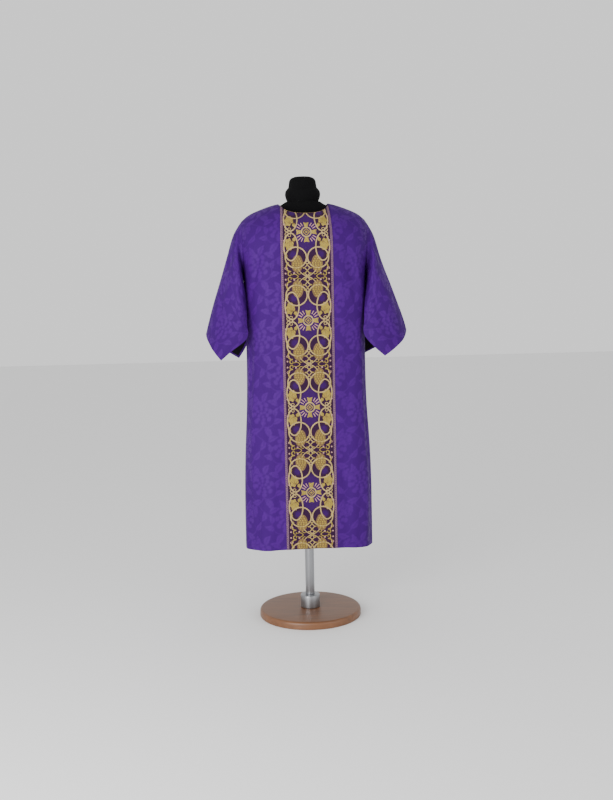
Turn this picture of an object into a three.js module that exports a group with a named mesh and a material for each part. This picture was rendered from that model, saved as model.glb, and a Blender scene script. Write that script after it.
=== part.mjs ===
// A dalmatic, worn by a limbless dress form on a pole and a round base. Millimetres, +Z up, the floor at z = 0.
// The wearer faces -Y, so the wearer's right is -X. The origin is on the floor, under the pole.
//
// The garment: a front and a back panel, joined at the side seams and along the shoulders, and two sleeves.
// Each sleeve is one rectangle folded over the shoulder and open along its underside, so it hangs as a front
// and a back flap with square corners, and shows its dark lining. A wide woven orphrey runs down the middle of
// the front and of the back, with a narrow galloon along each of its edges.
import * as THREE from "three";
import { mergeVertices } from "three/addons/utils/BufferGeometryUtils.js";

// ---- driving sizes ----
const GAP = 0.3; // between any two pieces that meet at a seam or lie on each other
const CLOTH = 1.6; // the damask wall
const LINING = 0.9;
const ORPHREY = 1.0;
const GALLOON = 1.3;

const HEM_Z = 255; // at the side seams
const HEM_RISE = 18; // how much higher the hem hangs in the middle
const ARMPIT_Z = 1190; // where the armhole's two edges meet the side seam
const BREAK_Z = 1290; // where the chest and the back start to close over the shoulders
const ARMHOLE_Y = 64; // how far the armhole opens to the front and to the back
const SHOULDER_X = 211; // the armhole's top point
const NECK_X = 84; // half the neck opening, along the shoulder line
const NECK_FRONT = 90; // how far the neck opening reaches to the front
const NECK_BACK = 56; // and to the back
const NECK_SQUARE = 3.2; // 2 is an ellipse, and more is squarer
const NECK_PULL = 0.1; // how far the middle of a panel draws in towards the neck

const ORPHREY_HALF = 79; // the orphrey's edge, measured over the cloth from the middle
const GALLOON_OUTER = 87; // and the galloon's outer edge
const NECK_COLUMN = 92; // the thread of the panel that ends at the neck point

// Level sections of the body: half its width, its reach to the front and to the back, and how square it is.
const BODY_SECTIONS = [
  { z: 255, half_width: 224, front: 133, back: 129, square: 3.1 },
  { z: 420, half_width: 223, front: 135, back: 131, square: 3.1 },
  { z: 560, half_width: 219, front: 136, back: 131, square: 3.1 },
  { z: 770, half_width: 208, front: 137, back: 130, square: 3.0 },
  { z: 920, half_width: 205, front: 138, back: 128, square: 3.0 },
  { z: 1190, half_width: 208, front: 139, back: 127, square: 3.0 },
  { z: 1290, half_width: 211, front: 136, back: 126, square: 3.0 },
];

// The shoulder line, where the front meets the back. Inside the neck opening it only guides the surface.
const SHOULDER_LINE = [
  { x: 0, z: 1449 },
  { x: 84, z: 1446 },
  { x: 150, z: 1426 },
  { x: 190, z: 1407 },
  { x: 215, z: 1386 },
];

// Soft upright folds. at: the place over the cloth from the middle, + towards the wearer's left.
// width: half the fold's width. depth: at the hem, + outwards. top: the height where it dies out.
const FRONT_FOLDS = [
  { at: -152, width: 34, depth: 7, top: 1120 },
  { at: -214, width: 30, depth: -7, top: 900 },
  { at: -112, width: 24, depth: -3, top: 700 },
  { at: 118, width: 26, depth: -4, top: 980 },
  { at: 172, width: 36, depth: 8, top: 1180 },
  { at: 236, width: 30, depth: -6, top: 820 },
];
const BACK_FOLDS = [
  { at: -205, width: 36, depth: 8, top: 1020 },
  { at: -140, width: 34, depth: -7, top: 1180 },
  { at: 128, width: 32, depth: -6, top: 1060 },
  { at: 190, width: 38, depth: 9, top: 1140 },
];

// A sleeve from the armhole (0) to its cuff (1). fold: its top fold. front and back: the free lower edges of
// its two flaps. x is measured outwards from the middle of the body, and y + to the back.
// turn: how far round the flap turns between the fold and its lower edge, in degrees.
const RIGHT_SLEEVE = [
  { along: 0, fold_x: 211, fold_z: 1389, front_x: 208, front_y: -2, front_z: 1190, back_x: 208, back_y: 2, back_z: 1190, turn: 95 },
  { along: 0.06, fold_x: 224, fold_z: 1371, front_x: 210, front_y: -17, front_z: 1179, back_x: 210, back_y: 17, back_z: 1180, turn: 118 },
  { along: 0.15, fold_x: 240, fold_z: 1343, front_x: 205, front_y: -52, front_z: 1147, back_x: 205, back_y: 50, back_z: 1150, turn: 126 },
  { along: 0.36, fold_x: 265, fold_z: 1265, front_x: 203, front_y: -86, front_z: 1098, back_x: 194, back_y: 86, back_z: 1096, turn: 122 },
  { along: 0.57, fold_x: 290, fold_z: 1186, front_x: 203, front_y: -102, front_z: 1044, back_x: 188, back_y: 102, back_z: 1042, turn: 112 },
  { along: 0.78, fold_x: 317, fold_z: 1102, front_x: 208, front_y: -114, front_z: 992, back_x: 190, back_y: 113, back_z: 988, turn: 102 },
  { along: 0.9, fold_x: 332, fold_z: 1050, front_x: 257, front_y: -122, front_z: 955, back_x: 208, back_y: 118, back_z: 948, turn: 94 },
  { along: 1, fold_x: 343, fold_z: 1009, front_x: 293, front_y: -127, front_z: 925, back_x: 230, back_y: 121, back_z: 914, turn: 90 },
];
const LEFT_SLEEVE = [
  { along: 0, fold_x: 211, fold_z: 1389, front_x: 208, front_y: -2, front_z: 1190, back_x: 208, back_y: 2, back_z: 1190, turn: 95 },
  { along: 0.06, fold_x: 224, fold_z: 1370, front_x: 210, front_y: -17, front_z: 1179, back_x: 210, back_y: 17, back_z: 1180, turn: 118 },
  { along: 0.15, fold_x: 240, fold_z: 1340, front_x: 205, front_y: -52, front_z: 1149, back_x: 206, back_y: 50, back_z: 1150, turn: 126 },
  { along: 0.36, fold_x: 265, fold_z: 1261, front_x: 197, front_y: -86, front_z: 1102, back_x: 200, back_y: 86, back_z: 1096, turn: 122 },
  { along: 0.57, fold_x: 296, fold_z: 1179, front_x: 193, front_y: -101, front_z: 1049, back_x: 193, back_y: 101, back_z: 1040, turn: 112 },
  { along: 0.78, fold_x: 327, fold_z: 1096, front_x: 193, front_y: -114, front_z: 996, back_x: 185, back_y: 113, back_z: 984, turn: 102 },
  { along: 0.9, fold_x: 344, fold_z: 1048, front_x: 224, front_y: -122, front_z: 959, back_x: 186, back_y: 119, back_z: 942, turn: 94 },
  { along: 1, fold_x: 353, fold_z: 1015, front_x: 259, front_y: -127, front_z: 928, back_x: 199, back_y: 121, back_z: 910, turn: 90 },
];
const ARMHOLE_FADE = 0.4; // how far along a sleeve the armhole's own curve dies out
const FOLD_SOFTNESS = 0.14; // how round the top fold is
const LINING_START = 0.02;
const LINING_END = 0.985; // the lining stops short of the cuff, and of the free lower edges

// The dress form: level sections of the torso.
const TORSO_SECTIONS = [
  { z: 720, half_width: 158, front: 100, back: 104, square: 2.3 },
  { z: 800, half_width: 168, front: 106, back: 112, square: 2.3 },
  { z: 900, half_width: 160, front: 104, back: 104, square: 2.2 },
  { z: 1000, half_width: 150, front: 102, back: 92, square: 2.2 },
  { z: 1120, half_width: 162, front: 112, back: 96, square: 2.2 },
  { z: 1230, half_width: 182, front: 122, back: 106, square: 2.3 },
  { z: 1300, half_width: 194, front: 118, back: 108, square: 2.4 },
  { z: 1345, half_width: 199, front: 96, back: 96, square: 2.3 },
  { z: 1380, half_width: 200, front: 76, back: 74, square: 2.1 },
  { z: 1396, half_width: 190, front: 64, back: 62, square: 2.0 },
  { z: 1412, half_width: 164, front: 56, back: 54, square: 2.0 },
  { z: 1428, half_width: 118, front: 52, back: 50, square: 2.0 },
  { z: 1440, half_width: 80, front: 51, back: 50, square: 2.0 },
  { z: 1452, half_width: 60, front: 51, back: 51, square: 2.0 },
];
// The neck block, turned: radius against height.
const NECK_PROFILE = [
  { r: 53, z: 1452.3 },
  { r: 57, z: 1462 },
  { r: 60, z: 1474 },
  { r: 59, z: 1486 },
  { r: 54, z: 1494 },
  { r: 49, z: 1500 },
  { r: 47, z: 1510 },
  { r: 45, z: 1522 },
  { r: 39, z: 1531 },
  { r: 27, z: 1536 },
];
const POLE_RADIUS = 16;
const BASE_RADIUS = 180;
const BASE_HEIGHT = 26;
const BASE_EDGE = 9; // the rounding of the base's upper edge
const SOCKET = { radius: 34, height: 46 };
const TORSO_PLATE = { radius: 46, height: 12 };

// ---- curves ----
const mix = (a, b, t) => a + (b - a) * t;
const clamp01 = (t) => Math.min(1, Math.max(0, t));
const ease = (t) => clamp01(t) ** 2 * (3 - 2 * clamp01(t));

// A smooth curve through a column of a table, read at a value of its key column.
function through(rows, key, column, value) {
  const last = rows.length - 1;
  const found = rows.findIndex((row) => row[key] >= value);
  const i = found < 0 ? last : Math.max(1, found);
  const [low, high] = [rows[i - 1], rows[i]];
  const slope = (a, b) => (b[column] - a[column]) / (b[key] - a[key]);
  const span = high[key] - low[key];
  const own = slope(low, high);
  const start = i > 1 ? (slope(rows[i - 2], low) + own) / 2 : own;
  const end = i < last ? (own + slope(high, rows[i + 1])) / 2 : own;
  const t = clamp01((value - low[key]) / span);
  return (
    low[column] * (1 + 2 * t) * (1 - t) ** 2 +
    high[column] * (3 - 2 * t) * t ** 2 +
    span * (start * t * (1 - t) ** 2 + end * (t - 1) * t ** 2)
  );
}

// A quarter of a level section: points from the middle, at reach, to the side, at half_width and side_y.
// Each has the length so far.
const QUARTER_STEPS = 120;
function quarter(half_width, reach, square, side_y) {
  const end = Math.acos((side_y / reach) ** (square / 2));
  const widened = half_width / Math.sin(end) ** (2 / square);
  const line = [];
  for (let i = 0; i <= QUARTER_STEPS; i++) {
    const angle = (end * i) / QUARTER_STEPS;
    const x = widened * Math.sin(angle) ** (2 / square);
    const y = reach * Math.max(0, Math.cos(angle)) ** (2 / square);
    const before = line[i - 1];
    line.push({ x, y, length: before ? before.length + Math.hypot(x - before.x, y - before.y) : 0 });
  }
  return line;
}

function at_length(line, length) {
  const found = line.findIndex((point) => point.length >= length);
  const i = found < 0 ? line.length - 1 : Math.max(1, found);
  const [a, b] = [line[i - 1], line[i]];
  const t = (length - a.length) / (b.length - a.length);
  return { x: mix(a.x, b.x, t), y: mix(a.y, b.y, t) };
}

// ---- the body's surface ----
// A place over the cloth of a panel is a thread and a height. thread runs from -1 at the wearer's right edge
// over 0 in the middle to 1, and its inner part, up to NECK_THREAD, is as wide as the orphrey everywhere.
// height runs from 0 at the hem over 1 at the armpit and 2 at the break to 3 at the shoulder line or the neck.
const NECK_THREAD = 0.4;
const thread_at = (length) => (NECK_THREAD * length) / NECK_COLUMN;

function fold_depth(folds, length, edge, z) {
  let depth = 0;
  for (const fold of folds) {
    const ramp = ease((fold.top - z) / (fold.top - HEM_Z));
    depth += fold.depth * ramp * Math.exp(-(((length - fold.at) / fold.width) ** 2));
  }
  return depth * ease((edge - Math.abs(length)) / 40);
}

// side: -1 for the front panel and 1 for the back panel.
function body_point(side, thread, height) {
  const front = side < 0;
  const column = front ? "front" : "back";
  const out = Math.sign(thread);
  const open = height <= 1 ? 0 : Math.min(1, height - 1) * (Math.PI / 2);
  const hem = HEM_Z + HEM_RISE * (1 - thread * thread);
  const z = height <= 1 ? mix(hem, ARMPIT_Z, height) : mix(ARMPIT_Z, BREAK_Z, Math.min(1, height - 1));
  const read = (name) => through(BODY_SECTIONS, "z", name, z);
  const side_y = Math.max(GAP / 2, ARMHOLE_Y * Math.sin(open));
  const line = quarter(read("half_width"), read(column), read("square"), side_y);
  const edge = line[line.length - 1].length - (height > 1 ? GAP / 2 : 0);
  const share = Math.abs(thread);
  const length =
    share <= NECK_THREAD
      ? (NECK_COLUMN * share) / NECK_THREAD
      : mix(NECK_COLUMN, edge, (share - NECK_THREAD) / (1 - NECK_THREAD));
  const flat = at_length(line, length);
  if (height <= 2) {
    const depth = fold_depth(front ? FRONT_FOLDS : BACK_FOLDS, out * length, edge, z);
    const turned = (flat.x / read("half_width")) ** 4; // the folds push sideways near the side seam
    return new THREE.Vector3(out * (flat.x + depth * turned), side * (flat.y + depth * (1 - turned)), z);
  }
  // Over the shoulder: each thread rises as a quarter of an ellipse to the shoulder line, or stops at the neck.
  const drawn_in = NECK_PULL * (1 - (flat.x / SHOULDER_X) ** 2);
  const rise = (angle) => ({
    x: flat.x * (1 - drawn_in * Math.sin(angle) ** 2),
    y: flat.y * Math.cos(angle),
  });
  const neck_reach = front ? NECK_FRONT : NECK_BACK;
  const outside_neck = (angle) => {
    const { x, y } = rise(angle);
    return (Math.min(1, x / NECK_X)) ** NECK_SQUARE + (Math.max(0, y) / neck_reach) ** NECK_SQUARE >= 1;
  };
  let top = Math.acos(GAP / 2 / flat.y);
  if (!outside_neck(top)) {
    let [low, high] = [0, top];
    for (let i = 0; i < 40; i++) {
      const middle = (low + high) / 2;
      if (outside_neck(middle)) low = middle;
      else high = middle;
    }
    top = low;
  }
  const angle = top * (height - 2);
  const { x, y } = rise(angle);
  const ridge = through(SHOULDER_LINE, "x", "z", x);
  return new THREE.Vector3(out * x, side * y, BREAK_Z + (ridge - BREAK_Z) * Math.sin(angle));
}

// ---- the sleeves' surface ----
// across runs from -1 at the front flap's lower edge over 0 at the top fold to 1 at the back flap's lower edge.
function sleeve_point(rows, out, along, across) {
  const front = across < 0;
  const read = (name) => through(rows, "along", name, along);
  const flap = (name) => read((front ? "front_" : "back_") + name);
  const height = 3 - 2 * Math.abs(across); // the armhole's height on the body, from 1 at the armpit to 3
  const hang = (share_along) => {
    const row = (name) => through(rows, "along", name, share_along);
    const edge = (name) => row((front ? "front_" : "back_") + name);
    const turn = THREE.MathUtils.degToRad(row("turn"));
    const angle = turn * Math.abs(across);
    const dropped = Math.hypot(across, FOLD_SOFTNESS) - FOLD_SOFTNESS;
    const lowest = Math.hypot(1, FOLD_SOFTNESS) - FOLD_SOFTNESS;
    return new THREE.Vector3(
      mix(row("fold_x"), edge("x"), (1 - Math.cos(angle)) / (1 - Math.cos(turn))),
      (edge("y") * Math.sin(angle)) / Math.sin(turn),
      mix(row("fold_z"), edge("z"), dropped / lowest),
    );
  };
  const point = hang(along);
  const left = (1 - Math.min(1, along / ARMHOLE_FADE)) ** 2;
  if (left > 0) {
    const seam = body_point(front ? -1 : 1, 1, height);
    point.add(seam.sub(hang(0)).multiplyScalar(left));
  }
  return new THREE.Vector3(out * point.x, point.y, point.z);
}

// ---- walls ----
const STEP = 1e-3;
// The outward direction of a surface at a place, where outward is 1 or -1 by the way it is laid out.
function facing(point, [u_low, u_high], [v_low, v_high], outward, u, v) {
  const inside = (value, low, high) => Math.min(high, Math.max(low, value));
  const across_u = point(inside(u + STEP, u_low, u_high), v).sub(point(inside(u - STEP, u_low, u_high), v));
  const across_v = point(u, inside(v + STEP, v_low, v_high)).sub(point(u, inside(v - STEP, v_low, v_high)));
  return across_u.cross(across_v).normalize().multiplyScalar(outward);
}

// A closed wall on a surface: its outer face is lift above the surface, and it is thickness thick.
// seam(u, v) may give the direction through the wall at a seam, shared with the piece it is sewn to.
function wall(point, us, vs, lift, thickness, outward, seam = () => null) {
  const ends = (list) => [list[0], list[list.length - 1]];
  const positions = [];
  const layer = (depth) =>
    us.forEach((u) =>
      vs.forEach((v) => {
        const direction = seam(u, v) ?? facing(point, ends(us), ends(vs), outward, u, v);
        positions.push(...point(u, v).addScaledVector(direction, depth).toArray());
      }),
    );
  layer(lift);
  layer(lift - thickness);
  const [rows, columns] = [us.length, vs.length];
  const index = [];
  const number = (i, j, inner) => (inner ? rows * columns : 0) + i * columns + j;
  const quad = (a, b, c, d) => index.push(...(outward > 0 ? [a, b, c, a, c, d] : [a, c, b, a, d, c]));
  for (let i = 0; i + 1 < rows; i++)
    for (let j = 0; j + 1 < columns; j++) {
      quad(number(i, j), number(i + 1, j), number(i + 1, j + 1), number(i, j + 1));
      quad(number(i, j, true), number(i, j + 1, true), number(i + 1, j + 1, true), number(i + 1, j, true));
    }
  for (let i = 0; i + 1 < rows; i++) {
    const last = columns - 1;
    quad(number(i, 0), number(i, 0, true), number(i + 1, 0, true), number(i + 1, 0));
    quad(number(i, last), number(i + 1, last), number(i + 1, last, true), number(i, last, true));
  }
  for (let j = 0; j + 1 < columns; j++) {
    const last = rows - 1;
    quad(number(0, j), number(0, j + 1), number(0, j + 1, true), number(0, j, true));
    quad(number(last, j), number(last, j, true), number(last, j + 1, true), number(last, j + 1));
  }
  return new THREE.BufferGeometry()
    .setAttribute("position", new THREE.Float32BufferAttribute(positions, 3))
    .setIndex(index);
}

// A closed solid through level rings.
function loft(rings) {
  const sides = rings[0].length;
  const positions = rings.flat().flatMap((point) => point.toArray());
  const index = [];
  for (let i = 0; i + 1 < rings.length; i++)
    for (let j = 0; j < sides; j++) {
      const next = (j + 1) % sides;
      const [a, b, c, d] = [i * sides + j, i * sides + next, (i + 1) * sides + next, (i + 1) * sides + j];
      index.push(a, b, c, a, c, d);
    }
  for (const [ring, flip] of [[0, true], [rings.length - 1, false]]) {
    const middle = positions.length / 3;
    const { z } = rings[ring][0];
    positions.push(0, 0, z);
    for (let j = 0; j < sides; j++) {
      const [a, b] = [ring * sides + j, ring * sides + ((j + 1) % sides)];
      index.push(middle, flip ? b : a, flip ? a : b);
    }
  }
  return new THREE.BufferGeometry()
    .setAttribute("position", new THREE.Float32BufferAttribute(positions, 3))
    .setIndex(index);
}

// A turned solid, from the radius and height of each corner of its profile, closed on the axis at both ends.
function turned(profile, sides) {
  const corners = [{ r: 0, z: profile[0].z }, ...profile, { r: 0, z: profile[profile.length - 1].z }];
  const lathe = new THREE.LatheGeometry(corners.map(({ r, z }) => new THREE.Vector2(r, z)), sides);
  lathe.rotateX(Math.PI / 2);
  lathe.deleteAttribute("normal");
  lathe.deleteAttribute("uv");
  return mergeVertices(lathe, 1e-4);
}

// ---- materials ----
const finish = (color, roughness, metalness = 0) => new THREE.MeshStandardMaterial({ color, roughness, metalness });
const DAMASK = finish(0x4b2a92, 0.6);
const BROCADE = finish(0xa88f4e, 0.4, 0.5);
const BRAID = finish(0xcbb08c, 0.4, 0.4);
const DARK_LINING = finish(0x0d0a12, 0.75);
const JERSEY = finish(0x141515, 0.9);
const STEEL = finish(0x8f9194, 0.35, 0.9);
const WOOD = finish(0x6b4426, 0.55);

const dalmatic = new THREE.Group();
function add(name, geometry, material) {
  const mesh = new THREE.Mesh(geometry, material);
  mesh.name = name;
  dalmatic.add(mesh);
}

// ---- the panels, the orphreys and the galloons ----
const spread = (from, to, count) => Array.from({ length: count + 1 }, (_, i) => mix(from, to, i / count));
const SIDE_COLUMNS = 7;
const ARMHOLE_ROWS = 4;
const SHOULDER_ROWS = 5;
const HEIGHTS = [
  ...spread(0, 1, 12).slice(0, -1),
  ...spread(1, 2, ARMHOLE_ROWS).slice(0, -1),
  ...spread(2, 3, SHOULDER_ROWS),
];
const INNER_THREADS = [0, 27, 54, ORPHREY_HALF, GALLOON_OUTER].map(thread_at);
const HALF_THREADS = [...INNER_THREADS, ...spread(NECK_THREAD, 1, SIDE_COLUMNS)];
const mirrored = (list) => [...list.slice(1).map((value) => -value).reverse(), ...list];

const HANDS = [
  ["right", -1, RIGHT_SLEEVE],
  ["left", 1, LEFT_SLEEVE],
];

// The armhole seam. through: the direction through both walls, halfway between the panel's and the sleeve's.
// start: where the sleeve begins, off the panel's edge and square to the cut.
function armhole_seam(side, out, height) {
  const rows = out < 0 ? RIGHT_SLEEVE : LEFT_SLEEVE;
  const across = (side * (3 - height)) / 2;
  const sleeve = (along, at) => sleeve_point(rows, out, along, at);
  const panel = (thread, at) => body_point(side, thread, at);
  const across_range = side < 0 ? [-1, -STEP] : [STEP, 1];
  const through = facing(panel, [-1, 1], [0, 3], -side, out, height);
  through.add(facing(sleeve, [0, 1], across_range, out, 0, across));
  const at_end = height <= 1 || height >= 3;
  if (at_end) through.y = 0;
  through.normalize();
  const start = panel(out, height);
  const upwards = panel(out, Math.min(3, height + STEP)).sub(panel(out, Math.max(1, height - STEP)));
  const away = upwards.cross(through).normalize();
  if (away.dot(panel(out * (1 - STEP), height).sub(start)) > 0) away.negate();
  if (height <= 1) away.set(0, 0, 1);
  if (height >= 3) start.y = 0;
  const room = GAP * mix(2, 1, clamp01(height - 1)); // a little more where the seam ends, at the armpit
  return { through, start: start.addScaledVector(away, room) };
}

for (const [face, side] of [["front", -1], ["back", 1]]) {
  const surface = (thread, height) => body_point(side, thread, height);
  const seam = (thread, height) =>
    Math.abs(thread) === 1 && height >= 1 ? armhole_seam(side, Math.sign(thread), height).through : null;
  add(`${face}_panel`, wall(surface, mirrored(HALF_THREADS), HEIGHTS, 0, CLOTH, -side, seam), DAMASK);
  const orphrey_threads = mirrored([0, 27, 54, ORPHREY_HALF - GAP / 2].map(thread_at));
  add(`${face}_orphrey`, wall(surface, orphrey_threads, HEIGHTS, GAP + ORPHREY, ORPHREY, -side), BROCADE);
  for (const [hand, out] of HANDS) {
    const edges = [ORPHREY_HALF + GAP / 2, GALLOON_OUTER].map((length) => out * thread_at(length));
    edges.sort((a, b) => a - b);
    add(`${face}_galloon_${hand}`, wall(surface, edges, HEIGHTS, GAP + GALLOON, GALLOON, -side), BRAID);
  }
}

// ---- the sleeves and their linings ----
const FLAP_STEPS = HEIGHTS.filter((height) => height > 1).map((height) => (3 - height) / 2).reverse();
const ACROSS = mirrored([...FLAP_STEPS, LINING_END, 1]);
const STATIONS = [LINING_START, 0.06, 0.13, 0.22, 0.36, 0.52, 0.68, 0.82, 0.92, LINING_END];
for (const [hand, out, rows] of HANDS) {
  const surface = (along, across) => sleeve_point(rows, out, along, across);
  const armhole = (across) => armhole_seam(Math.sign(across) || 1, out, 3 - 2 * Math.abs(across));
  const sewn_on = (along, across) => (along === 0 ? armhole(across).start : surface(along, across));
  const seam = (along, across) => (along === 0 ? armhole(across).through : null);
  add(`sleeve_${hand}`, wall(sewn_on, [0, ...STATIONS, 1], ACROSS, 0, CLOTH, out, seam), DAMASK);
  add(`sleeve_lining_${hand}`, wall(surface, STATIONS, ACROSS.slice(1, -1), -CLOTH - GAP, LINING, out), DARK_LINING);
}

// ---- the dress form and its stand ----
const TORSO_SIDES = 32;
const torso_rings = TORSO_SECTIONS.map(({ z, half_width, front, back, square }) =>
  spread(0, 2 * Math.PI, TORSO_SIDES).slice(0, -1).map((angle) => {
    const [cos, sin] = [Math.cos(angle), Math.sin(angle)];
    const reach = sin < 0 ? front : back;
    const power = 2 / square;
    return new THREE.Vector3(
      Math.sign(cos) * half_width * Math.abs(cos) ** power,
      Math.sign(sin) * reach * Math.abs(sin) ** power,
      z,
    );
  }),
);
add("form_torso", loft(torso_rings), JERSEY);
add("form_neck", turned(NECK_PROFILE, 32), JERSEY);

const torso_bottom = TORSO_SECTIONS[0].z;
const socket_top = BASE_HEIGHT + GAP + SOCKET.height;
const plate_top = torso_bottom - GAP;
const plate_bottom = plate_top - TORSO_PLATE.height;
const cylinder = (radius, from, to) => [{ r: radius, z: from }, { r: radius, z: to }];
add("torso_plate", turned(cylinder(TORSO_PLATE.radius, plate_bottom, plate_top), 32), STEEL);
add("pole", turned(cylinder(POLE_RADIUS, socket_top + GAP, plate_bottom - GAP), 24), STEEL);
add("base_socket", turned(cylinder(SOCKET.radius, BASE_HEIGHT + GAP, socket_top), 32), STEEL);
const EDGE_STEPS = 4;
const rounded_edge = spread(0, Math.PI / 2, EDGE_STEPS).map((angle) => ({
  r: BASE_RADIUS - BASE_EDGE * (1 - Math.cos(angle)),
  z: BASE_HEIGHT - BASE_EDGE * (1 - Math.sin(angle)),
}));
add("base", turned([{ r: BASE_RADIUS, z: 0 }, ...rounded_edge], 48), WOOD);

export default dalmatic;
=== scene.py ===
"""A damask dalmatic with brocaded orphreys, on a limbless dress form and its stand."""

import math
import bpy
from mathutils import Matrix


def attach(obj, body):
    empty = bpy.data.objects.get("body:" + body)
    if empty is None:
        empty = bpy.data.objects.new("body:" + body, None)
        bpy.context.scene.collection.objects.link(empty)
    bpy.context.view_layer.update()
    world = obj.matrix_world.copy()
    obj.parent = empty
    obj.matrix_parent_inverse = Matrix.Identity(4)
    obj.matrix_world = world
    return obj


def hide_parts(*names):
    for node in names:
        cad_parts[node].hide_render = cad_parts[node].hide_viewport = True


bl_info = {
    "name": "Dalmatic on a Dress Form",
    "version": (1, 0, 0),
    "blender": (4, 5, 0),
    "location": "View3D > Sidebar > Dalmatic",
    "description": "Builds a damask dalmatic with brocaded orphreys, its dress form and its stage",
    "category": "Add Mesh",
}

import bpy
import numpy as np
from mathutils import Matrix, Vector

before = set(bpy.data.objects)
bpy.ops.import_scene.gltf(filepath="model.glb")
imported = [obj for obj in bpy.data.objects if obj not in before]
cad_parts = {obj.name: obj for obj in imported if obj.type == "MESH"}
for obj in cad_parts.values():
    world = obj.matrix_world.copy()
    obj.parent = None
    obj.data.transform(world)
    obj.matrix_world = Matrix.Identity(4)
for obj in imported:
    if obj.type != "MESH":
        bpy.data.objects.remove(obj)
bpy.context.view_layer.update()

MM = 0.001  # the cut's tables are in millimetres, and the scene is in metres

# ----------------------------------------------------------------------------------------------------
# The cut: the tables that the solids are made from, but for the right sleeve's front edge, which stands
# 1.5 mm further in at the two rows below the first
# ----------------------------------------------------------------------------------------------------

GAP = 0.3  # between pieces that lie on each other
SEAM = 0.03  # half the slit that is left along a sewn seam
HEM_Z, HEM_RISE = 255.0, 18.0
ARMPIT_Z, BREAK_Z = 1190.0, 1290.0
ARMHOLE_Y = 64.0
SHOULDER_X = 211.0
NECK_X, NECK_SQUARE, NECK_PULL = 84.0, 3.2, 0.1
NECK_REACH = {-1: 90.0, 1: 56.0}  # -1 is the front and 1 the back
ORPHREY_HALF, GALLOON_OUTER, NECK_COLUMN = 79.0, 87.0, 92.0
NECK_THREAD = 0.4

BODY_SECTIONS = np.array(
    # height, half width, reach to the front, reach to the back, squareness
    [
        (255, 224, 133, 129, 3.1),
        (420, 223, 135, 131, 3.1),
        (560, 219, 136, 131, 3.1),
        (770, 208, 137, 130, 3.0),
        (920, 205, 138, 128, 3.0),
        (1190, 208, 139, 127, 3.0),
        (1290, 211, 136, 126, 3.0),
    ],
    float,
)
HALF_WIDTH, FRONT_REACH, BACK_REACH, SQUARE = 1, 2, 3, 4

SHOULDER_LINE = np.array([(0, 1449), (84, 1446), (150, 1426), (190, 1407), (215, 1386)], float)

FOLD_FADE, CREASE_FADE = 40, 30  # how far from a side seam the folds and the creases die out

# Large soft folds: place over the cloth, half width, depth at the hem, and the height where each dies out.
LARGE_FOLDS = {
    -1: [
        (-152, 34, 7, 1120),
        (-214, 30, -7, 900),
        (-112, 24, -3, 700),
        (118, 26, -4, 980),
        (172, 36, 8, 1180),
        (236, 30, -6, 820),
    ],
    1: [
        (-205, 36, 8, 1020),
        (-140, 34, -7, 1180),
        (128, 32, -6, 1060),
        (190, 38, 9, 1140),
    ],
}

# Share of the way along the sleeve, top fold's x and z, front edge's x, y and z, back edge's x, y and z, and
# the turn of each flap in degrees.
RIGHT_SLEEVE = np.array(
    [
        (0, 211, 1389, 208, -2, 1190, 208, 2, 1190, 95),
        (0.06, 224, 1371, 208.5, -17, 1179, 210, 17, 1180, 118),
        (0.15, 240, 1343, 203.5, -52, 1147, 205, 50, 1150, 126),
        (0.36, 265, 1265, 203, -86, 1098, 194, 86, 1096, 122),
        (0.57, 290, 1186, 203, -102, 1044, 188, 102, 1042, 112),
        (0.78, 317, 1102, 208, -114, 992, 190, 113, 988, 102),
        (0.9, 332, 1050, 257, -122, 955, 208, 118, 948, 94),
        (1, 343, 1009, 293, -127, 925, 230, 121, 914, 90),
    ],
    float,
)
LEFT_SLEEVE = np.array(
    [
        (0, 211, 1389, 208, -2, 1190, 208, 2, 1190, 95),
        (0.06, 224, 1370, 210, -17, 1179, 210, 17, 1180, 118),
        (0.15, 240, 1340, 205, -52, 1149, 206, 50, 1150, 126),
        (0.36, 265, 1261, 197, -86, 1102, 200, 86, 1096, 122),
        (0.57, 296, 1179, 193, -101, 1049, 193, 101, 1040, 112),
        (0.78, 327, 1096, 193, -114, 996, 185, 113, 984, 102),
        (0.9, 344, 1048, 224, -122, 959, 186, 119, 942, 94),
        (1, 353, 1015, 259, -127, 928, 199, 121, 910, 90),
    ],
    float,
)
ALONG, FOLD_X, FOLD_Z, FRONT_X, FRONT_Y, FRONT_Z, BACK_X, BACK_Y, BACK_Z, TURN = range(10)
ARMHOLE_FADE, FOLD_SOFTNESS = 0.4, 0.14
# Of the flat rectangle: along the sleeve, and from its top fold to an edge.
SLEEVE_LENGTH, FLAP_WIDTH = 430.0, 225.0

TORSO_SECTIONS = np.array(
    # height, half width, reach to the front, reach to the back, squareness
    [
        (720, 158, 100, 104, 2.3),
        (800, 168, 106, 112, 2.3),
        (900, 160, 104, 104, 2.2),
        (1000, 150, 102, 92, 2.2),
        (1120, 162, 112, 96, 2.2),
        (1230, 182, 122, 106, 2.3),
        (1300, 194, 118, 108, 2.4),
        (1345, 199, 96, 96, 2.3),
        (1380, 200, 76, 74, 2.1),
        (1396, 190, 64, 62, 2.0),
        (1412, 164, 56, 54, 2.0),
        (1428, 118, 52, 50, 2.0),
        (1440, 80, 51, 50, 2.0),
        (1452, 60, 51, 51, 2.0),
    ],
    float,
)
NECK_PROFILE = [
    # radius, height
    (53, 1452.3),
    (57, 1462),
    (60, 1474),
    (59, 1486),
    (54, 1494),
    (49, 1500),
    (47, 1510),
    (45, 1522),
    (39, 1531),
    (27, 1536),
]
TORSO_BOTTOM, SHOULDERS_Z, TORSO_TOP = 720, 1340, 1452
PLATE_RADIUS, PLATE_HEIGHT = 46, 12
POLE_RADIUS = 16
SOCKET_RADIUS, SOCKET_HEIGHT = 34, 46
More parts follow.
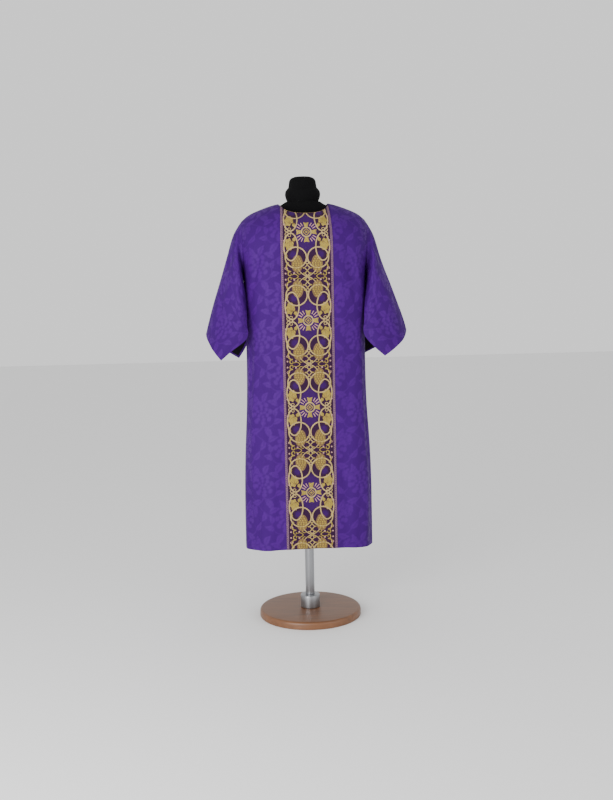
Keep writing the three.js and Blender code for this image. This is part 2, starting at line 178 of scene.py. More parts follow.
BASE_RADIUS, BASE_HEIGHT, BASE_EDGE, BASE_CHAMFER = 180, 26, 9, 1.5


def mix(a, b, t):
    return a + (b - a) * t


def ease(t):
    t = np.clip(t, 0, 1)
    return t * t * (3 - 2 * t)


def through(table, key, column, value):
    """A smooth curve through a column of a table, read at values of its key column."""
    value = np.asarray(value, float)
    keys, data = table[:, key], table[:, column]
    last = len(keys) - 1
    i = np.clip(np.searchsorted(keys, value), 1, last)
    slope = np.diff(data) / np.diff(keys)
    at_knot = np.concatenate([slope[:1], (slope[:-1] + slope[1:]) / 2, slope[-1:]])
    span = keys[i] - keys[i - 1]
    t = np.clip((value - keys[i - 1]) / span, 0, 1)
    return (
        data[i - 1] * (1 + 2 * t) * (1 - t) ** 2
        + data[i] * (3 - 2 * t) * t**2
        + span * (at_knot[i - 1] * t * (1 - t) ** 2 + at_knot[i] * (t - 1) * t**2)
    )


QUARTER_STEPS = 120


def along_section(half_width, reach, square, side_y, length):
    """Points of level sections at a length from the middle, and each section's whole length to its side."""
    end = np.arccos((side_y / reach) ** (square / 2))
    widened = half_width / np.sin(end) ** (2 / square)
    angle = end[:, None] * np.linspace(0, 1, QUARTER_STEPS + 1)
    power = (2 / square)[:, None]
    x = widened[:, None] * np.sin(angle) ** power
    y = reach[:, None] * np.maximum(0, np.cos(angle)) ** power
    steps = np.hypot(np.diff(x), np.diff(y))
    run = np.concatenate([np.zeros((len(x), 1)), np.cumsum(steps, axis=1)], axis=1)
    length = np.minimum(np.maximum(length, 0), run[:, -1])
    i = np.clip((run < length[:, None]).sum(axis=1), 1, QUARTER_STEPS)
    row = np.arange(len(x))
    t = (length - run[row, i - 1]) / (run[row, i] - run[row, i - 1])
    return mix(x[row, i - 1], x[row, i], t), mix(y[row, i - 1], y[row, i], t), run[:, -1]


# Lengths over the shoulder are read off one quarter ellipse, by the angle from its start at the break.
OVER_REACH, OVER_RISE = 136.0, 158.0
ARC_ANGLES = np.linspace(0, math.pi / 2, 400)
ARC_STEPS = np.hypot(np.diff(OVER_REACH * np.cos(ARC_ANGLES)), np.diff(OVER_RISE * np.sin(ARC_ANGLES)))
ARC_LENGTHS = np.concatenate([[0], np.cumsum(ARC_STEPS)])


def section_edge(side, level):
    """Each section's numbers at a level, with how far its edge stands off the side seam."""
    z = np.minimum(level, BREAK_Z)
    open_angle = np.clip((z - ARMPIT_Z) / (BREAK_Z - ARMPIT_Z), 0, 1) * (math.pi / 2)
    side_y = np.maximum(SEAM, ARMHOLE_Y * np.sin(open_angle))
    reach = through(BODY_SECTIONS, 0, FRONT_REACH if side < 0 else BACK_REACH, z)
    half_width = through(BODY_SECTIONS, 0, HALF_WIDTH, z)
    return half_width, reach, through(BODY_SECTIONS, 0, SQUARE, z), side_y


def neck_angle(side, length):
    """The angle over the shoulder at which a thread meets the neckline, or the shoulder seam."""
    level = np.full_like(length, BREAK_Z)
    flat_x, flat_y, _ = along_section(*section_edge(side, level), length)
    drawn_in = NECK_PULL * (1 - (flat_x / SHOULDER_X) ** 2)

    def outside(angle):
        x = flat_x * (1 - drawn_in * np.sin(angle) ** 2)
        y = np.maximum(0, flat_y * np.cos(angle))
        return np.minimum(1, x / NECK_X) ** NECK_SQUARE + (y / NECK_REACH[side]) ** NECK_SQUARE >= 1

    top = np.arccos(SEAM / flat_y)
    low, high = np.zeros_like(top), top.copy()
    for _ in range(40):
        middle = (low + high) / 2
        out = outside(middle)
        low, high = np.where(out, middle, low), np.where(out, high, middle)
    return np.where(outside(top), top, low)


def body_base(side, place, level):
    """The panel's surface in mm, at a signed length over the cloth from its middle and a level up it."""
    length, out = np.abs(place), np.sign(place)
    half_width, reach, square, side_y = section_edge(side, level)
    x, y, edge = along_section(half_width, reach, square, side_y, length)
    depth = np.zeros_like(x)
    for at, width, deep, top in LARGE_FOLDS[side]:
        depth += deep * ease((top - level) / (top - HEM_Z)) * np.exp(-(((place - at) / width) ** 2))
    depth *= ease((edge - length) / FOLD_FADE)
    turned = (x / half_width) ** 4
    x, y = x + depth * turned, y + depth * (1 - turned)
    angle = np.interp(level - BREAK_Z, ARC_LENGTHS, ARC_ANGLES)
    over = level > BREAK_Z
    drawn_in = NECK_PULL * (1 - (x / SHOULDER_X) ** 2)
    x = np.where(over, x * (1 - drawn_in * np.sin(angle) ** 2), x)
    y = np.where(over, y * np.cos(angle), y)
    ridge = through(SHOULDER_LINE, 0, 1, x)
    z = np.where(over, BREAK_Z + (ridge - BREAK_Z) * np.sin(angle), level)
    return np.stack([out * x, side * y, z], axis=-1)


# Smaller creases, troughs or ridges: place, level of the middle, half width, half length, depth, slant.
PANEL_CREASES = {
    -1: [
        (-168, 1250, 15, 90, -2.6, 0.22),
        (-132, 1190, 22, 150, 1.5, 0.1),
        (150, 1225, 16, 120, -2.2, -0.16),
        (186, 1190, 14, 90, 1.8, -0.2),
        (118, 1110, 24, 180, 1.4, -0.05),
        (-176, 1010, 17, 150, 2.0, 0.06),
        (-210, 930, 13, 170, -2.2, 0.03),
        (-120, 860, 30, 210, -1.6, 0.02),
        (-162, 720, 16, 190, -2.2, -0.03),
        (-205, 620, 20, 180, 2.0, 0.02),
        (-128, 520, 18, 160, 1.6, 0.03),
        (-186, 410, 15, 150, -2.3, 0.04),
        (136, 900, 22, 190, -1.8, 0.03),
        (190, 820, 16, 200, 2.2, -0.04),
        (216, 690, 14, 190, -2.0, -0.03),
        (150, 640, 26, 160, 1.7, 0.02),
        (118, 470, 16, 170, -1.6, -0.02),
        (204, 430, 18, 160, 2.2, 0.05),
        (168, 350, 13, 110, -1.9, 0.03),
        (0, 1010, 60, 300, 1.2, 0.0),
        (30, 620, 46, 240, -1.3, 0.03),
        (-34, 420, 40, 200, 1.2, -0.03),
        (-250, 360, 16, 130, 1.8, 0.04),
        (252, 560, 16, 160, 1.6, -0.04),
    ],
    1: [
        (-150, 1240, 16, 120, -2.3, 0.18),
        (160, 1215, 17, 110, -2.4, -0.2),
        (120, 1150, 22, 160, 1.5, -0.08),
        (-118, 1080, 24, 170, 1.6, 0.06),
        (-186, 960, 16, 170, -2.2, 0.04),
        (-140, 800, 24, 200, 1.8, -0.02),
        (-214, 700, 15, 170, -2.0, 0.03),
        (-170, 520, 18, 170, -1.9, 0.04),
        (-122, 390, 16, 140, 1.7, 0.02),
        (184, 980, 15, 160, 2.0, -0.05),
        (138, 860, 20, 190, -1.9, 0.02),
        (218, 760, 14, 180, -1.8, -0.02),
        (170, 600, 22, 170, 1.9, 0.03),
        (126, 470, 17, 160, -1.6, -0.03),
        (206, 380, 18, 140, 2.1, 0.05),
        (10, 900, 50, 260, 1.2, 0.02),
        (-26, 560, 44, 230, -1.3, -0.02),
    ],
}


def crease_depth(creases, place, level, strength):
    depth = np.zeros(np.broadcast(place, level).shape)
    for at, middle, width, reach, deep, slant in creases:
        rise = (level - middle) / reach
        sideways = (place - at - slant * (level - middle)) / (width * (1 + 0.35 * rise))
        depth += deep * np.exp(-(sideways**2) - rise**4)
    return strength * depth


def panel_edge(side, level):
    half_width, reach, square, side_y = section_edge(side, level)
    return along_section(half_width, reach, square, side_y, np.zeros_like(level))[2]


def on_panel(side, place, level, lift, strength):
    """Points in metres on a panel's draped surface, lifted off it in mm."""
    place, level = np.broadcast_arrays(np.asarray(place, float), np.asarray(level, float))
    shape, place, level = place.shape, place.ravel(), level.ravel()
    lift = np.broadcast_to(lift, shape).ravel()
    step = 0.5  # mm, to either side, for the surface's slope
    across = body_base(side, place + step, level) - body_base(side, place - step, level)
    up = body_base(side, place, level + step) - body_base(side, place, level - step)
    normal = np.cross(across, up) * -side
    normal /= np.linalg.norm(normal, axis=1)[:, None]
    edge = panel_edge(side, level)
    calm = ease((edge - np.abs(place)) / CREASE_FADE)
    depth = crease_depth(PANEL_CREASES[side], place, level, strength) * calm
    point = body_base(side, place, level) + normal * (lift + depth)[:, None]
    return (point * MM).reshape(*shape, 3)


def sleeve_base(rows, out, along, across):
    """A sleeve's surface in mm: along runs from armhole to cuff, across from the front edge to the back."""
    front = across < 0

    def read(at, front_column, back_column):
        return np.where(front, through(rows, ALONG, front_column, at), through(rows, ALONG, back_column, at))

    def hang(at):
        turn = np.radians(through(rows, ALONG, TURN, at))
        angle = turn * np.abs(across)
        dropped = np.hypot(across, FOLD_SOFTNESS) - FOLD_SOFTNESS
        lowest = math.hypot(1, FOLD_SOFTNESS) - FOLD_SOFTNESS
        swung = (1 - np.cos(angle)) / (1 - np.cos(turn))
        x = mix(through(rows, ALONG, FOLD_X, at), read(at, FRONT_X, BACK_X), swung)
        y = read(at, FRONT_Y, BACK_Y) * np.sin(angle) / np.sin(turn)
        z = mix(through(rows, ALONG, FOLD_Z, at), read(at, FRONT_Z, BACK_Z), dropped / lowest)
        return np.stack([x, y, z], axis=-1)

    height = 3 - 2 * np.abs(across)
    open_angle = np.clip(height - 1, 0, 1) * (math.pi / 2)
    over = np.clip(height - 2, 0, 1) * math.acos(SEAM / ARMHOLE_Y)
    level = mix(ARMPIT_Z, BREAK_Z, np.clip(height - 1, 0, 1))
    seam_y = np.maximum(SEAM, ARMHOLE_Y * np.sin(open_angle)) * np.cos(over)
    ridge = float(through(SHOULDER_LINE, 0, 1, SHOULDER_X))
    seam = np.stack(
        [
            through(BODY_SECTIONS, 0, HALF_WIDTH, level),
            np.where(front, -seam_y, seam_y),
            level + (ridge - BREAK_Z) * np.sin(over),
        ],
        axis=-1,
    )
    left = ((1 - np.minimum(1, along / ARMHOLE_FADE)) ** 2)[..., None]
    point = hang(along) + left * (seam - hang(np.zeros_like(along)))
    point[..., 0] *= out
    return point


# A sleeve's creases: place in mm from the top fold, + to the back, and along it, and the rest as above.
SLEEVE_CREASES = {
    -1: [
        (-60, 120, 13, 95, -3.0, 0.35),
        (-105, 190, 16, 110, 2.4, 0.22),
        (-40, 250, 22, 130, 1.6, -0.1),
        (-150, 250, 15, 120, -2.4, 0.18),
        (-90, 345, 20, 95, -1.8, -0.08),
        (-185, 340, 16, 90, 2.0, 0.05),
        (70, 130, 15, 100, -2.6, -0.3),
        (120, 220, 18, 120, 2.2, -0.15),
        (60, 300, 22, 120, -1.6, 0.1),
        (170, 320, 17, 100, -2.0, -0.06),
    ],
    1: [
        (-55, 110, 14, 95, -2.8, 0.3),
        (-100, 205, 17, 120, 2.3, 0.2),
        (-150, 280, 15, 110, -2.2, 0.12),
        (-45, 300, 24, 120, -1.5, -0.06),
        (-120, 370, 19, 80, 1.8, 0.03),
        (-190, 320, 14, 95, 1.8, 0.08),
        (64, 140, 15, 110, -2.6, -0.28),
        (115, 235, 18, 120, 2.2, -0.14),
        (165, 320, 16, 100, -2.1, -0.05),
        (50, 320, 24, 110, 1.4, 0.08),
    ],
}


def on_sleeve(out, along, across, lift, strength):
    """Points in metres on a sleeve's draped surface, lifted off it in mm. out is -1 for the right sleeve."""
    rows = RIGHT_SLEEVE if out < 0 else LEFT_SLEEVE
    along, across = np.broadcast_arrays(np.asarray(along, float), np.asarray(across, float))
    step = 1e-3  # to either side, for the surface's slope
    near, far = np.clip(along - step, 0, 1), np.clip(along + step, 0, 1)
    front, back = np.clip(across - step, -1, 1), np.clip(across + step, -1, 1)
    down = sleeve_base(rows, out, far, across) - sleeve_base(rows, out, near, across)
    round_ = sleeve_base(rows, out, along, back) - sleeve_base(rows, out, along, front)
    normal = np.cross(down, round_) * out
    normal /= np.linalg.norm(normal, axis=-1)[..., None]
    calm = ease((along - 0.02) / 0.12) * ease((1 - np.abs(across)) / 0.08)
    place, level = across * FLAP_WIDTH, along * SLEEVE_LENGTH
    depth = calm * crease_depth(SLEEVE_CREASES[out], place, level, strength)
    point = sleeve_base(rows, out, along, across) + normal * (lift + depth)[..., None]
    return point * MM


# ----------------------------------------------------------------------------------------------------
# Meshes
# ----------------------------------------------------------------------------------------------------


def new_object(name, vertices, faces, uvs=None, values=None, material_rows=None, materials=(), sharp=None):
    """A mesh object at the origin. uvs and values are per vertex, and material_rows per face."""
    mesh = bpy.data.meshes.new(name)
    mesh.from_pydata([], [], [])
    vertices = np.asarray(vertices, np.float32)
    if isinstance(faces, list):
        counts = np.array([len(face) for face in faces], np.int32)
        corners = np.concatenate([np.asarray(face, np.int32) for face in faces])
    else:
        counts = np.full(len(faces), faces.shape[1], np.int32)
        corners = faces.ravel()
    mesh.vertices.add(len(vertices))
    mesh.vertices.foreach_set("co", vertices.ravel())
    mesh.loops.add(len(corners))
    mesh.loops.foreach_set("vertex_index", corners.astype(np.int32))
    mesh.polygons.add(len(counts))
    starts = np.concatenate([[0], np.cumsum(counts)[:-1]])
    mesh.polygons.foreach_set("loop_start", starts.astype(np.int32))
    mesh.polygons.foreach_set("loop_total", counts)
    mesh.polygons.foreach_set("use_smooth", np.ones(len(counts), bool))
    if material_rows is not None:
        mesh.polygons.foreach_set("material_index", np.asarray(material_rows, np.int32))
    mesh.update(calc_edges=True)
    if uvs is not None:
        layer = mesh.uv_layers.new(name="cloth")
        layer.data.foreach_set("uv", np.asarray(uvs, np.float32)[corners].ravel())
    for key, column in (values or {}).items():
        attribute = mesh.attributes.new(key, "FLOAT", "POINT")
        attribute.data.foreach_set("value", np.asarray(column, np.float32))
    for material in materials:
        mesh.materials.append(material)
    if sharp is not None:
        mesh.set_sharp_from_angle(angle=math.radians(sharp))
    mesh.validate()
    obj = bpy.data.objects.new(name, mesh)
    bpy.context.scene.collection.objects.link(obj)
    return obj


def sheet_mesh(name, outer, inner, uvs, values, materials):
    """A closed thin shell between two grids of points. Its inner face takes the last material."""
    rows, columns = outer.shape[:2]
    number = np.arange(rows * columns).reshape(rows, columns)
    a, b = number[:-1, :-1].ravel(), number[:-1, 1:].ravel()
    c, d = number[1:, 1:].ravel(), number[1:, :-1].ravel()
    middle = (rows // 2, columns // 2)
    right = outer[middle[0], middle[1] + 1] - outer[middle]
    up = outer[middle[0] + 1, middle[1]] - outer[middle]
    outward = np.dot(np.cross(right, up), outer[middle] - inner[middle]) > 0
    face = np.stack([a, b, c, d] if outward else [a, d, c, b], axis=1)
    below = np.stack([a, d, c, b] if outward else [a, b, c, d], axis=1) + rows * columns
    rim = np.concatenate([number[0, :], number[1:, -1], number[-1, -2::-1], number[-2:0:-1, 0]])
    following = np.roll(rim, -1)
    other, other_following = rim + rows * columns, following + rows * columns
    if outward:
        wall = np.stack([rim, other, other_following, following], axis=1)
    else:
        wall = np.stack([rim, following, other_following, other], axis=1)
    faces = np.concatenate([face, below, wall])
    inside = np.full(len(below), len(materials) - 1)
    slots = np.concatenate([np.zeros(len(face)), inside, np.zeros(len(wall))])
    vertices = np.concatenate([outer.reshape(-1, 3), inner.reshape(-1, 3)])
    uv = np.concatenate([uvs.reshape(-1, 2)] * 2)
    columns_of = {key: np.concatenate([column.ravel()] * 2) for key, column in values.items()}
    return new_object(name, vertices, faces, uv, columns_of, slots, materials, sharp=50)


def stacked_rings(name, rings, uvs, end_uvs, material, sharp):
    """A solid through level rings of points in mm, closed on the pole's axis at both ends."""
    sides = len(rings[0])
    ends = [[0, 0, rings[0][0, 2]], [0, 0, rings[-1][0, 2]]]
    points = np.concatenate([*rings, ends]) * MM
    faces = []
    for i in range(len(rings) - 1):
        for j in range(sides):
            k = (j + 1) % sides
            faces.append((i * sides + j, i * sides + k, (i + 1) * sides + k, (i + 1) * sides + j))
    bottom, top, last = len(points) - 2, len(points) - 1, (len(rings) - 1) * sides
    for j in range(sides):
        k = (j + 1) % sides
        faces.append((bottom, k, j))
        faces.append((top, last + j, last + k))
    uv = np.concatenate([*uvs, end_uvs])
    return new_object(name, points, faces, uv, None, None, [material], sharp=sharp)


def lathe(name, profile, sides, material, uv_radius):
    """A turned solid about the pole's axis, from (radius, height) corners in mm."""
    angle = np.linspace(0, 2 * math.pi, sides, endpoint=False)
    rings, uvs, run = [], [], 0.0
    before = profile[0]
    for radius, z in profile:
        rings.append(np.stack([radius * np.cos(angle), radius * np.sin(angle), np.full(sides, z)], axis=1))
        run += math.hypot(radius - before[0], z - before[1])
        before = (radius, z)
        uvs.append(np.stack([angle * uv_radius, np.full(sides, run * MM)], axis=1))
    return stacked_rings(name, rings, uvs, [[0, 0], [0, run * MM]], material, sharp=40)


def widest(profile):
    """A profile's largest radius, in metres."""
    return max(radius for radius, _ in profile) * MM


def drum(radius, low, high, edge):
    """The profile of a drum with rounded edges."""
    steps = [math.radians(angle) for angle in (0, 22, 45, 68, 90)]
    lower = [(radius - edge * (1 - math.sin(a)), low + edge * (1 - math.cos(a))) for a in steps]
    upper = [(radius - edge * (1 - math.cos(a)), high - edge * (1 - math.sin(a))) for a in steps]
    return lower + upper


def smooth_profile(profile, steps):
    """More corners on a smooth curve through a profile's corners."""
    table = np.array([(i, r, z) for i, (r, z) in enumerate(profile)], float)
    at = np.linspace(0, len(profile) - 1, (len(profile) - 1) * steps + 1)
    return list(zip(through(table, 0, 1, at), through(table, 0, 2, at)))


def finish_piece(obj, slot, *nodes):
    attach(obj, "root")
    if nodes:
        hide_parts(*nodes)
    return obj


# ----------------------------------------------------------------------------------------------------
# The damask's figure: a peony, small flowers and toothed leaves on curling stems, as a distance in mm that is
# negative inside the figure
# ----------------------------------------------------------------------------------------------------

TILE_WIDTH, TILE_HEIGHT, TILE_STEP = 168.0, 246.0, 1.5


def turned_by(u, v, at, angle):
    cos, sin = math.cos(math.radians(angle)), math.sin(math.radians(angle))
    x, y = u - at[0], v - at[1]
    return x * cos + y * sin, y * cos - x * sin


def petal(u, v, at, angle, start, length, width):
    """An ellipse on a ray from a point."""
    x, y = turned_by(u, v, at, angle)
    return (np.hypot((x - start - length / 2) / (length / 2), y / (width / 2)) - 1) * min(length, width) / 2


def leaf(u, v, at, angle, length, width, teeth):
    """A pointed leaf with a toothed edge and a groove along its vein."""
    x, y = turned_by(u, v, at, angle)
    y = y - 0.1 * length * np.sin(math.pi * np.clip(x / length, 0, 1))
    share = np.clip(x / length, 0, 1)
    half = width / 2 * np.sin(math.pi * share**0.8) * (0.82 + 0.3 * np.abs(np.sin(teeth * math.pi * share)))
    body = np.maximum(np.abs(y) - half, np.maximum(-x, x - length))
    return np.maximum(body, np.where(share < 0.75, 1.1 - np.abs(y), -9))


def stem(u, v, points, width, taper=0.5):
    """A stroke along a curve through four control points."""
    p = [np.array(point, float) for point in points]
    nearest = np.full(np.shape(u), 99.0)
    for t in np.linspace(0, 1, 24):
        at = (1 - t) ** 3 * p[0] + 3 * t * (1 - t) ** 2 * p[1] + 3 * t * t * (1 - t) * p[2] + t**3 * p[3]
        nearest = np.minimum(nearest, np.hypot(u - at[0], v - at[1]) - width / 2 * mix(1, taper, t))
    return nearest


FLOWER_ROUNDS = (
    # petals, start, length, breadth, turn
    (5, 0.2, 0.26, 0.24, 0),
    (7, 0.44, 0.3, 0.34, 25),
    (8, 0.7, 0.34, 0.46, 0),
)


def flower(u, v, at, size, turn):
    """Three rounds of petals with gaps between them."""
    shape = np.hypot(u - at[0], v - at[1]) - 0.13 * size
    for count, start, length, breadth, offset in FLOWER_ROUNDS:
        for i in range(count):
            ray = turn + offset + 360 / count * i
            shape = np.minimum(shape, petal(u, v, at, ray, start * size, length * size, breadth * size))
    return shape


LEAVES = (
    # where it grows, direction, length, width, teeth
    ((12, -14), -58, 46, 22, 4),
    ((-6, -20), 196, 42, 20, 4),
    ((44, 0), 20, 36, 18, 3),
    ((24, -62), 24, 40, 19, 3),
    ((10, -58), -112, 38, 18, 3),
    ((-52, -4), 128, 42, 19, 4),
    ((-30, -42), 250, 28, 15, 2),
    ((6, 70), 60, 42, 20, 4),
    ((-8, 70), 124, 38, 18, 3),
    ((50, 24), 74, 32, 16, 3),
)
STEMS = (
    (((2, 8), (14, -24), (-22, -34), (-42, -52)), 5.0, 0.6),
    (((8, -12), (34, -18), (52, -2), (50, 26)), 4.4, 0.6),
    (((50, 26), (48, 44), (30, 48), (34, 36)), 3.4, 0.7),
    (((-8, -24), (-46, -26), (-62, -4), (-44, 12)), 4.2, 0.6),
    (((-20, -38), (0, -58), (22, -64), (34, -84)), 4.2, 0.6),
)


def figure_tile():
    """One repeat on a fine grid: the sprig, and its mirror image dropped by half a repeat."""
    columns, rows = round(TILE_WIDTH / TILE_STEP), round(TILE_HEIGHT / TILE_STEP)
    u, v = np.meshgrid(np.arange(columns) * TILE_WIDTH / columns, np.arange(rows) * TILE_HEIGHT / rows)
    shape = np.full(u.shape, 99.0)
    for drop, start, flip in ((0, 0, 1), (TILE_HEIGHT / 2, TILE_WIDTH / 2, -1)):
        x = (np.mod(u - start + TILE_WIDTH / 2, TILE_WIDTH) - TILE_WIDTH / 2) * flip
        y = np.mod(v - drop + TILE_HEIGHT / 2, TILE_HEIGHT) - TILE_HEIGHT / 2
        for i in (-1, 0, 1):
            a, b = x + i * TILE_WIDTH, y
            shape = np.minimum(shape, flower(a, b, (0, 34), 40, 12))
            shape = np.minimum(shape, flower(a, b, (-46, -62), 22, 40))
            for points, width, taper in STEMS:
                shape = np.minimum(shape, stem(a, b, points, width, taper))
            for one in LEAVES:
                shape = np.minimum(shape, leaf(a, b, *one))
    return np.clip(shape, -6, 6)


def figure_at(tile, place, level):
    """The figure's distance at places on the cloth in mm."""
    rows, columns = tile.shape
    x, y = np.mod(place / TILE_WIDTH, 1) * columns, np.mod(level / TILE_HEIGHT, 1) * rows
    i, j = np.floor(y).astype(int), np.floor(x).astype(int)
    s, t = x - j, y - i
    i, j = i % rows, j % columns
    k, m = (i + 1) % rows, (j + 1) % columns
    return mix(mix(tile[i, j], tile[i, m], s), mix(tile[k, j], tile[k, m], s), t)


# ----------------------------------------------------------------------------------------------------
# The orphrey's pattern, as thin raised pieces. Each is drawn once in mm across and up from the middle of a
# cross, and mirrored both ways.
# ----------------------------------------------------------------------------------------------------

REPEAT, FIRST_CROSS = 292.0, 469.0
# SHADE is a darker gold: on the grapes' bed it is painted shade between the berries, and it also runs along the
# leaves' veins.
YELLOW, PALE, ROSE, SHADE = 0, 1, 2, 3  # the four threads


def arc(centre, radii, start, end, tilt=0.0, steps=None):
    """Points along part of an ellipse, by angles in degrees."""
    steps = steps or max(4, round(abs(end - start) / 360 * 2 * math.pi * max(radii) / 4.0))
    angle = np.radians(np.linspace(start, end, steps + 1))
    x, y = radii[0] * np.cos(angle), radii[1] * np.sin(angle)
    cos, sin = math.cos(math.radians(tilt)), math.sin(math.radians(tilt))
    return np.stack([centre[0] + x * cos - y * sin, centre[1] + x * sin + y * cos], axis=1)


def curve(points, steps=12):
    p = [np.array(point, float) for point in points]
    t = np.linspace(0, 1, steps + 1)[:, None]
    return (1 - t) ** 3 * p[0] + 3 * t * (1 - t) ** 2 * p[1] + 3 * t * t * (1 - t) * p[2] + t**3 * p[3]


def curl(centre, radius, start, turns, pitch, steps=16):
    """A spiral that winds in to a centre."""
    t = np.linspace(0, 1, steps + 1)
    angle = np.radians(start) + turns * 2 * math.pi * t
    reach = radius * (1 - t) + pitch * t
    return np.stack([centre[0] + reach * np.cos(angle), centre[1] + reach * np.sin(angle)], axis=1)


class Relief:
    """Thin closed pieces in the plane of the cloth: across, up and lift, all in mm."""

    def __init__(self):
        self.pieces = []

    def add(self, points, faces, thread):
        self.pieces.append((points, faces, thread))

    def cord(self, line, width, lift, thread, taper=1.0):
        """A band along a line, crowned across, with its ends closed."""
        line = np.asarray(line, float)
        ahead = np.gradient(line, axis=0)
        ahead /= np.linalg.norm(ahead, axis=1)[:, None]
        aside = np.stack([-ahead[:, 1], ahead[:, 0]], axis=1)
        half = width / 2 * np.linspace(1, taper, len(line))[:, None]
        corners = ((-1, 0.0), (-0.72, 0.8), (0, 1.0), (0.72, 0.8), (1, 0.0))
        rows = [
            np.column_stack([line + aside * half * place, np.full(len(line), lift * rise)])
            for place, rise in corners
        ]
        points = np.stack(rows, axis=1).reshape(-1, 3)
        n = len(corners)
        i = (np.arange(len(line) - 1) * n)[:, None]
        j = np.arange(n)
        k = (j + 1) % n
        quads = np.stack([i + j, i + j + n, i + k + n, i + k], axis=-1).reshape(-1, 4)
        fans = []
        for start, flip in ((0, False), ((len(line) - 1) * n, True)):
            for a, b, c in ((0, 1, 2), (0, 2, 3), (0, 3, 4)):
                face = (start + a, start + b, start + c, start + c)
                fans.append(face[::-1] if flip else face)
        self.add(points, np.concatenate([quads[:, ::-1], np.array(fans)[:, ::-1]]), thread)

    def blob(self, centre, outline, lift, thread):
        """A filled shape whose outline can be seen from its centre, with a soft edge."""
        outline, centre = np.asarray(outline, float), np.asarray(centre, float)
        area = np.sum(np.cross(outline - centre, np.roll(outline, -1, axis=0) - centre))
        if area < 0:
            outline = outline[::-1]
        n = len(outline)
        rows = [
            np.column_stack([centre + (outline - centre) * share, np.full(n, lift * rise)])
            for share, rise in ((1, 0), (0.84, 0.85), (0.45, 1.0))
        ]
        points = np.concatenate([*rows, [[*centre, lift], [*centre, 0.0]]])
        j = np.arange(n)
        k = (j + 1) % n
        side = np.stack([j, k, k + n, j + n], axis=1)
        slope = np.stack([j + n, k + n, k + 2 * n, j + 2 * n], axis=1)
        top = np.stack([j + 2 * n, k + 2 * n, np.full(n, 3 * n), np.full(n, 3 * n)], axis=1)
        under = np.stack([k, j, np.full(n, 3 * n + 1), np.full(n, 3 * n + 1)], axis=1)
        self.add(points, np.concatenate([side, slope, top, under]), thread)


def polygon(*corners, steps=3):
    """A closed outline with extra points along its sides."""
    corners = np.array(corners, float)
    following = np.roll(corners, -1, axis=0)
    shares = np.linspace(0, 1, steps, endpoint=False)[:, None]
    return np.concatenate([a + (b - a) * shares for a, b in zip(corners, following)])


def lobed(centre, width, height, tilt, lobes, depth, steps=28):
    """A leaf's outline, pointed at one end, with lobes along its edge."""
    angle = np.linspace(0, 2 * math.pi, steps, endpoint=False)
    reach = 1 + depth * np.cos(lobes * angle)
    x, y = width / 2 * np.sin(angle) * reach, height / 2 * (np.cos(angle) * reach - 0.12 * np.cos(2 * angle))
    cos, sin = math.cos(math.radians(tilt)), math.sin(math.radians(tilt))
    return np.stack([centre[0] + x * cos - y * sin, centre[1] + x * sin + y * cos], axis=1)


def quadrant():
    """The part of a repeat on the wearer's left above a cross; the other three quarters mirror it."""
    relief = Relief()
    # the ray pieces between the cross's arms
    for angle, near, far in ((30, 24, 37), (45, 24, 40), (60, 24, 37)):
        ray = np.array([math.cos(math.radians(angle)), math.sin(math.radians(angle))])
        relief.cord([ray * near, ray * mix(near, far, 0.5), ray * far], 3.0, 0.5, ROSE)
    # the round medallion and the upright oval that pass through each other
    relief.cord(arc((37, 84), (35, 34), -100, 260), 4.4, 0.75, PALE)
    relief.cord(arc((53, 49), (23, 45), -72, 288), 4.4, 0.6, PALE)
    # grapes in the medallion, on a heart-shaped bed whose darker shade gold is painted shade between the
    # berries
    relief.blob((33, 103), lobed((33, 103), 38, 60, 176, 3, 0.07, 40), 0.4, SHADE)
    for row, (count, spread) in enumerate(((1, 0), (2, 7), (3, 13.4), (4, 19), (4, 20), (3, 15), (2, 8))):
        for i in range(count):
            across = 0 if count == 1 else mix(-spread / 2, spread / 2, i / (count - 1)) * 1.32
            centre = (32 + across + 0.1 * (row * 7 - 20), 82 + row * 6.9)
            relief.blob(centre, arc(centre, (3.3, 3.3), 0, 324, steps=9), 1.1, YELLOW)
    relief.cord(curve([(33, 130), (34, 138), (26, 141), (22, 137)], 8), 3.2, 0.6, YELLOW, 0.6)
    # a lobed leaf in the oval, with two small ones by it
    centre = (58, 42)
    relief.blob(centre, lobed(centre, 29, 38, 14, 7, 0.13, 42), 0.55, YELLOW)
    for angle in (-64, -24, 20, 62):
        ray = np.array([math.sin(math.radians(angle - 14)), math.cos(math.radians(angle - 14))])
        start = np.array([55.5, 30.0])
        relief.cord([start, start + ray * 9, start + ray * 17], 2.0, 1.1, SHADE, 0.5)
    relief.blob((41, 24), lobed((41, 24), 11, 17, -38, 5, 0.12, 20), 0.5, YELLOW)
    relief.blob((70, 76), lobed((70, 76), 9, 18, 8, 5, 0.12, 20), 0.5, YELLOW)
    # the knot by the edge, and its curls
    relief.cord(curl((66, 8), 8, 200, 0.95, 2.4, 14), 3.0, 0.6, PALE, 0.7)
    relief.cord(curl((56, 10), 7.5, -60, 0.9, 2.2, 12), 2.8, 0.6, PALE, 0.7)
    relief.cord([(50, 0), (57, 4.5), (65, 11), (73, 17)], 3.2, 0.6, PALE)
    # tendrils round the grapes and to the edge
    relief.cord(curve([(62, 100), (74, 112), (70, 128), (56, 130)], 12), 5.0, 0.65, YELLOW, 0.8)
    relief.cord(curl((57, 138), 9, 250, 0.95, 2.6, 16), 4.0, 0.65, YELLOW, 0.6)
    relief.cord(curve([(3, 145), (14, 141), (24, 134), (30, 122)], 12), 3.2, 0.55, PALE, 0.8)
    relief.cord(curve([(30, 146), (36, 138), (44, 136), (50, 141)], 10), 3.0, 0.55, YELLOW, 0.8)
    relief.cord(curl((71, 120), 6, 120, 0.9, 2.0, 12), 2.6, 0.55, ROSE, 0.7)
    for at in ((72, 136), (44, 135), (75, 60), (75, 28)):
        relief.blob(at, arc(at, (2.9, 2.9), 0, 315, steps=7), 0.7, ROSE)
    return relief.pieces


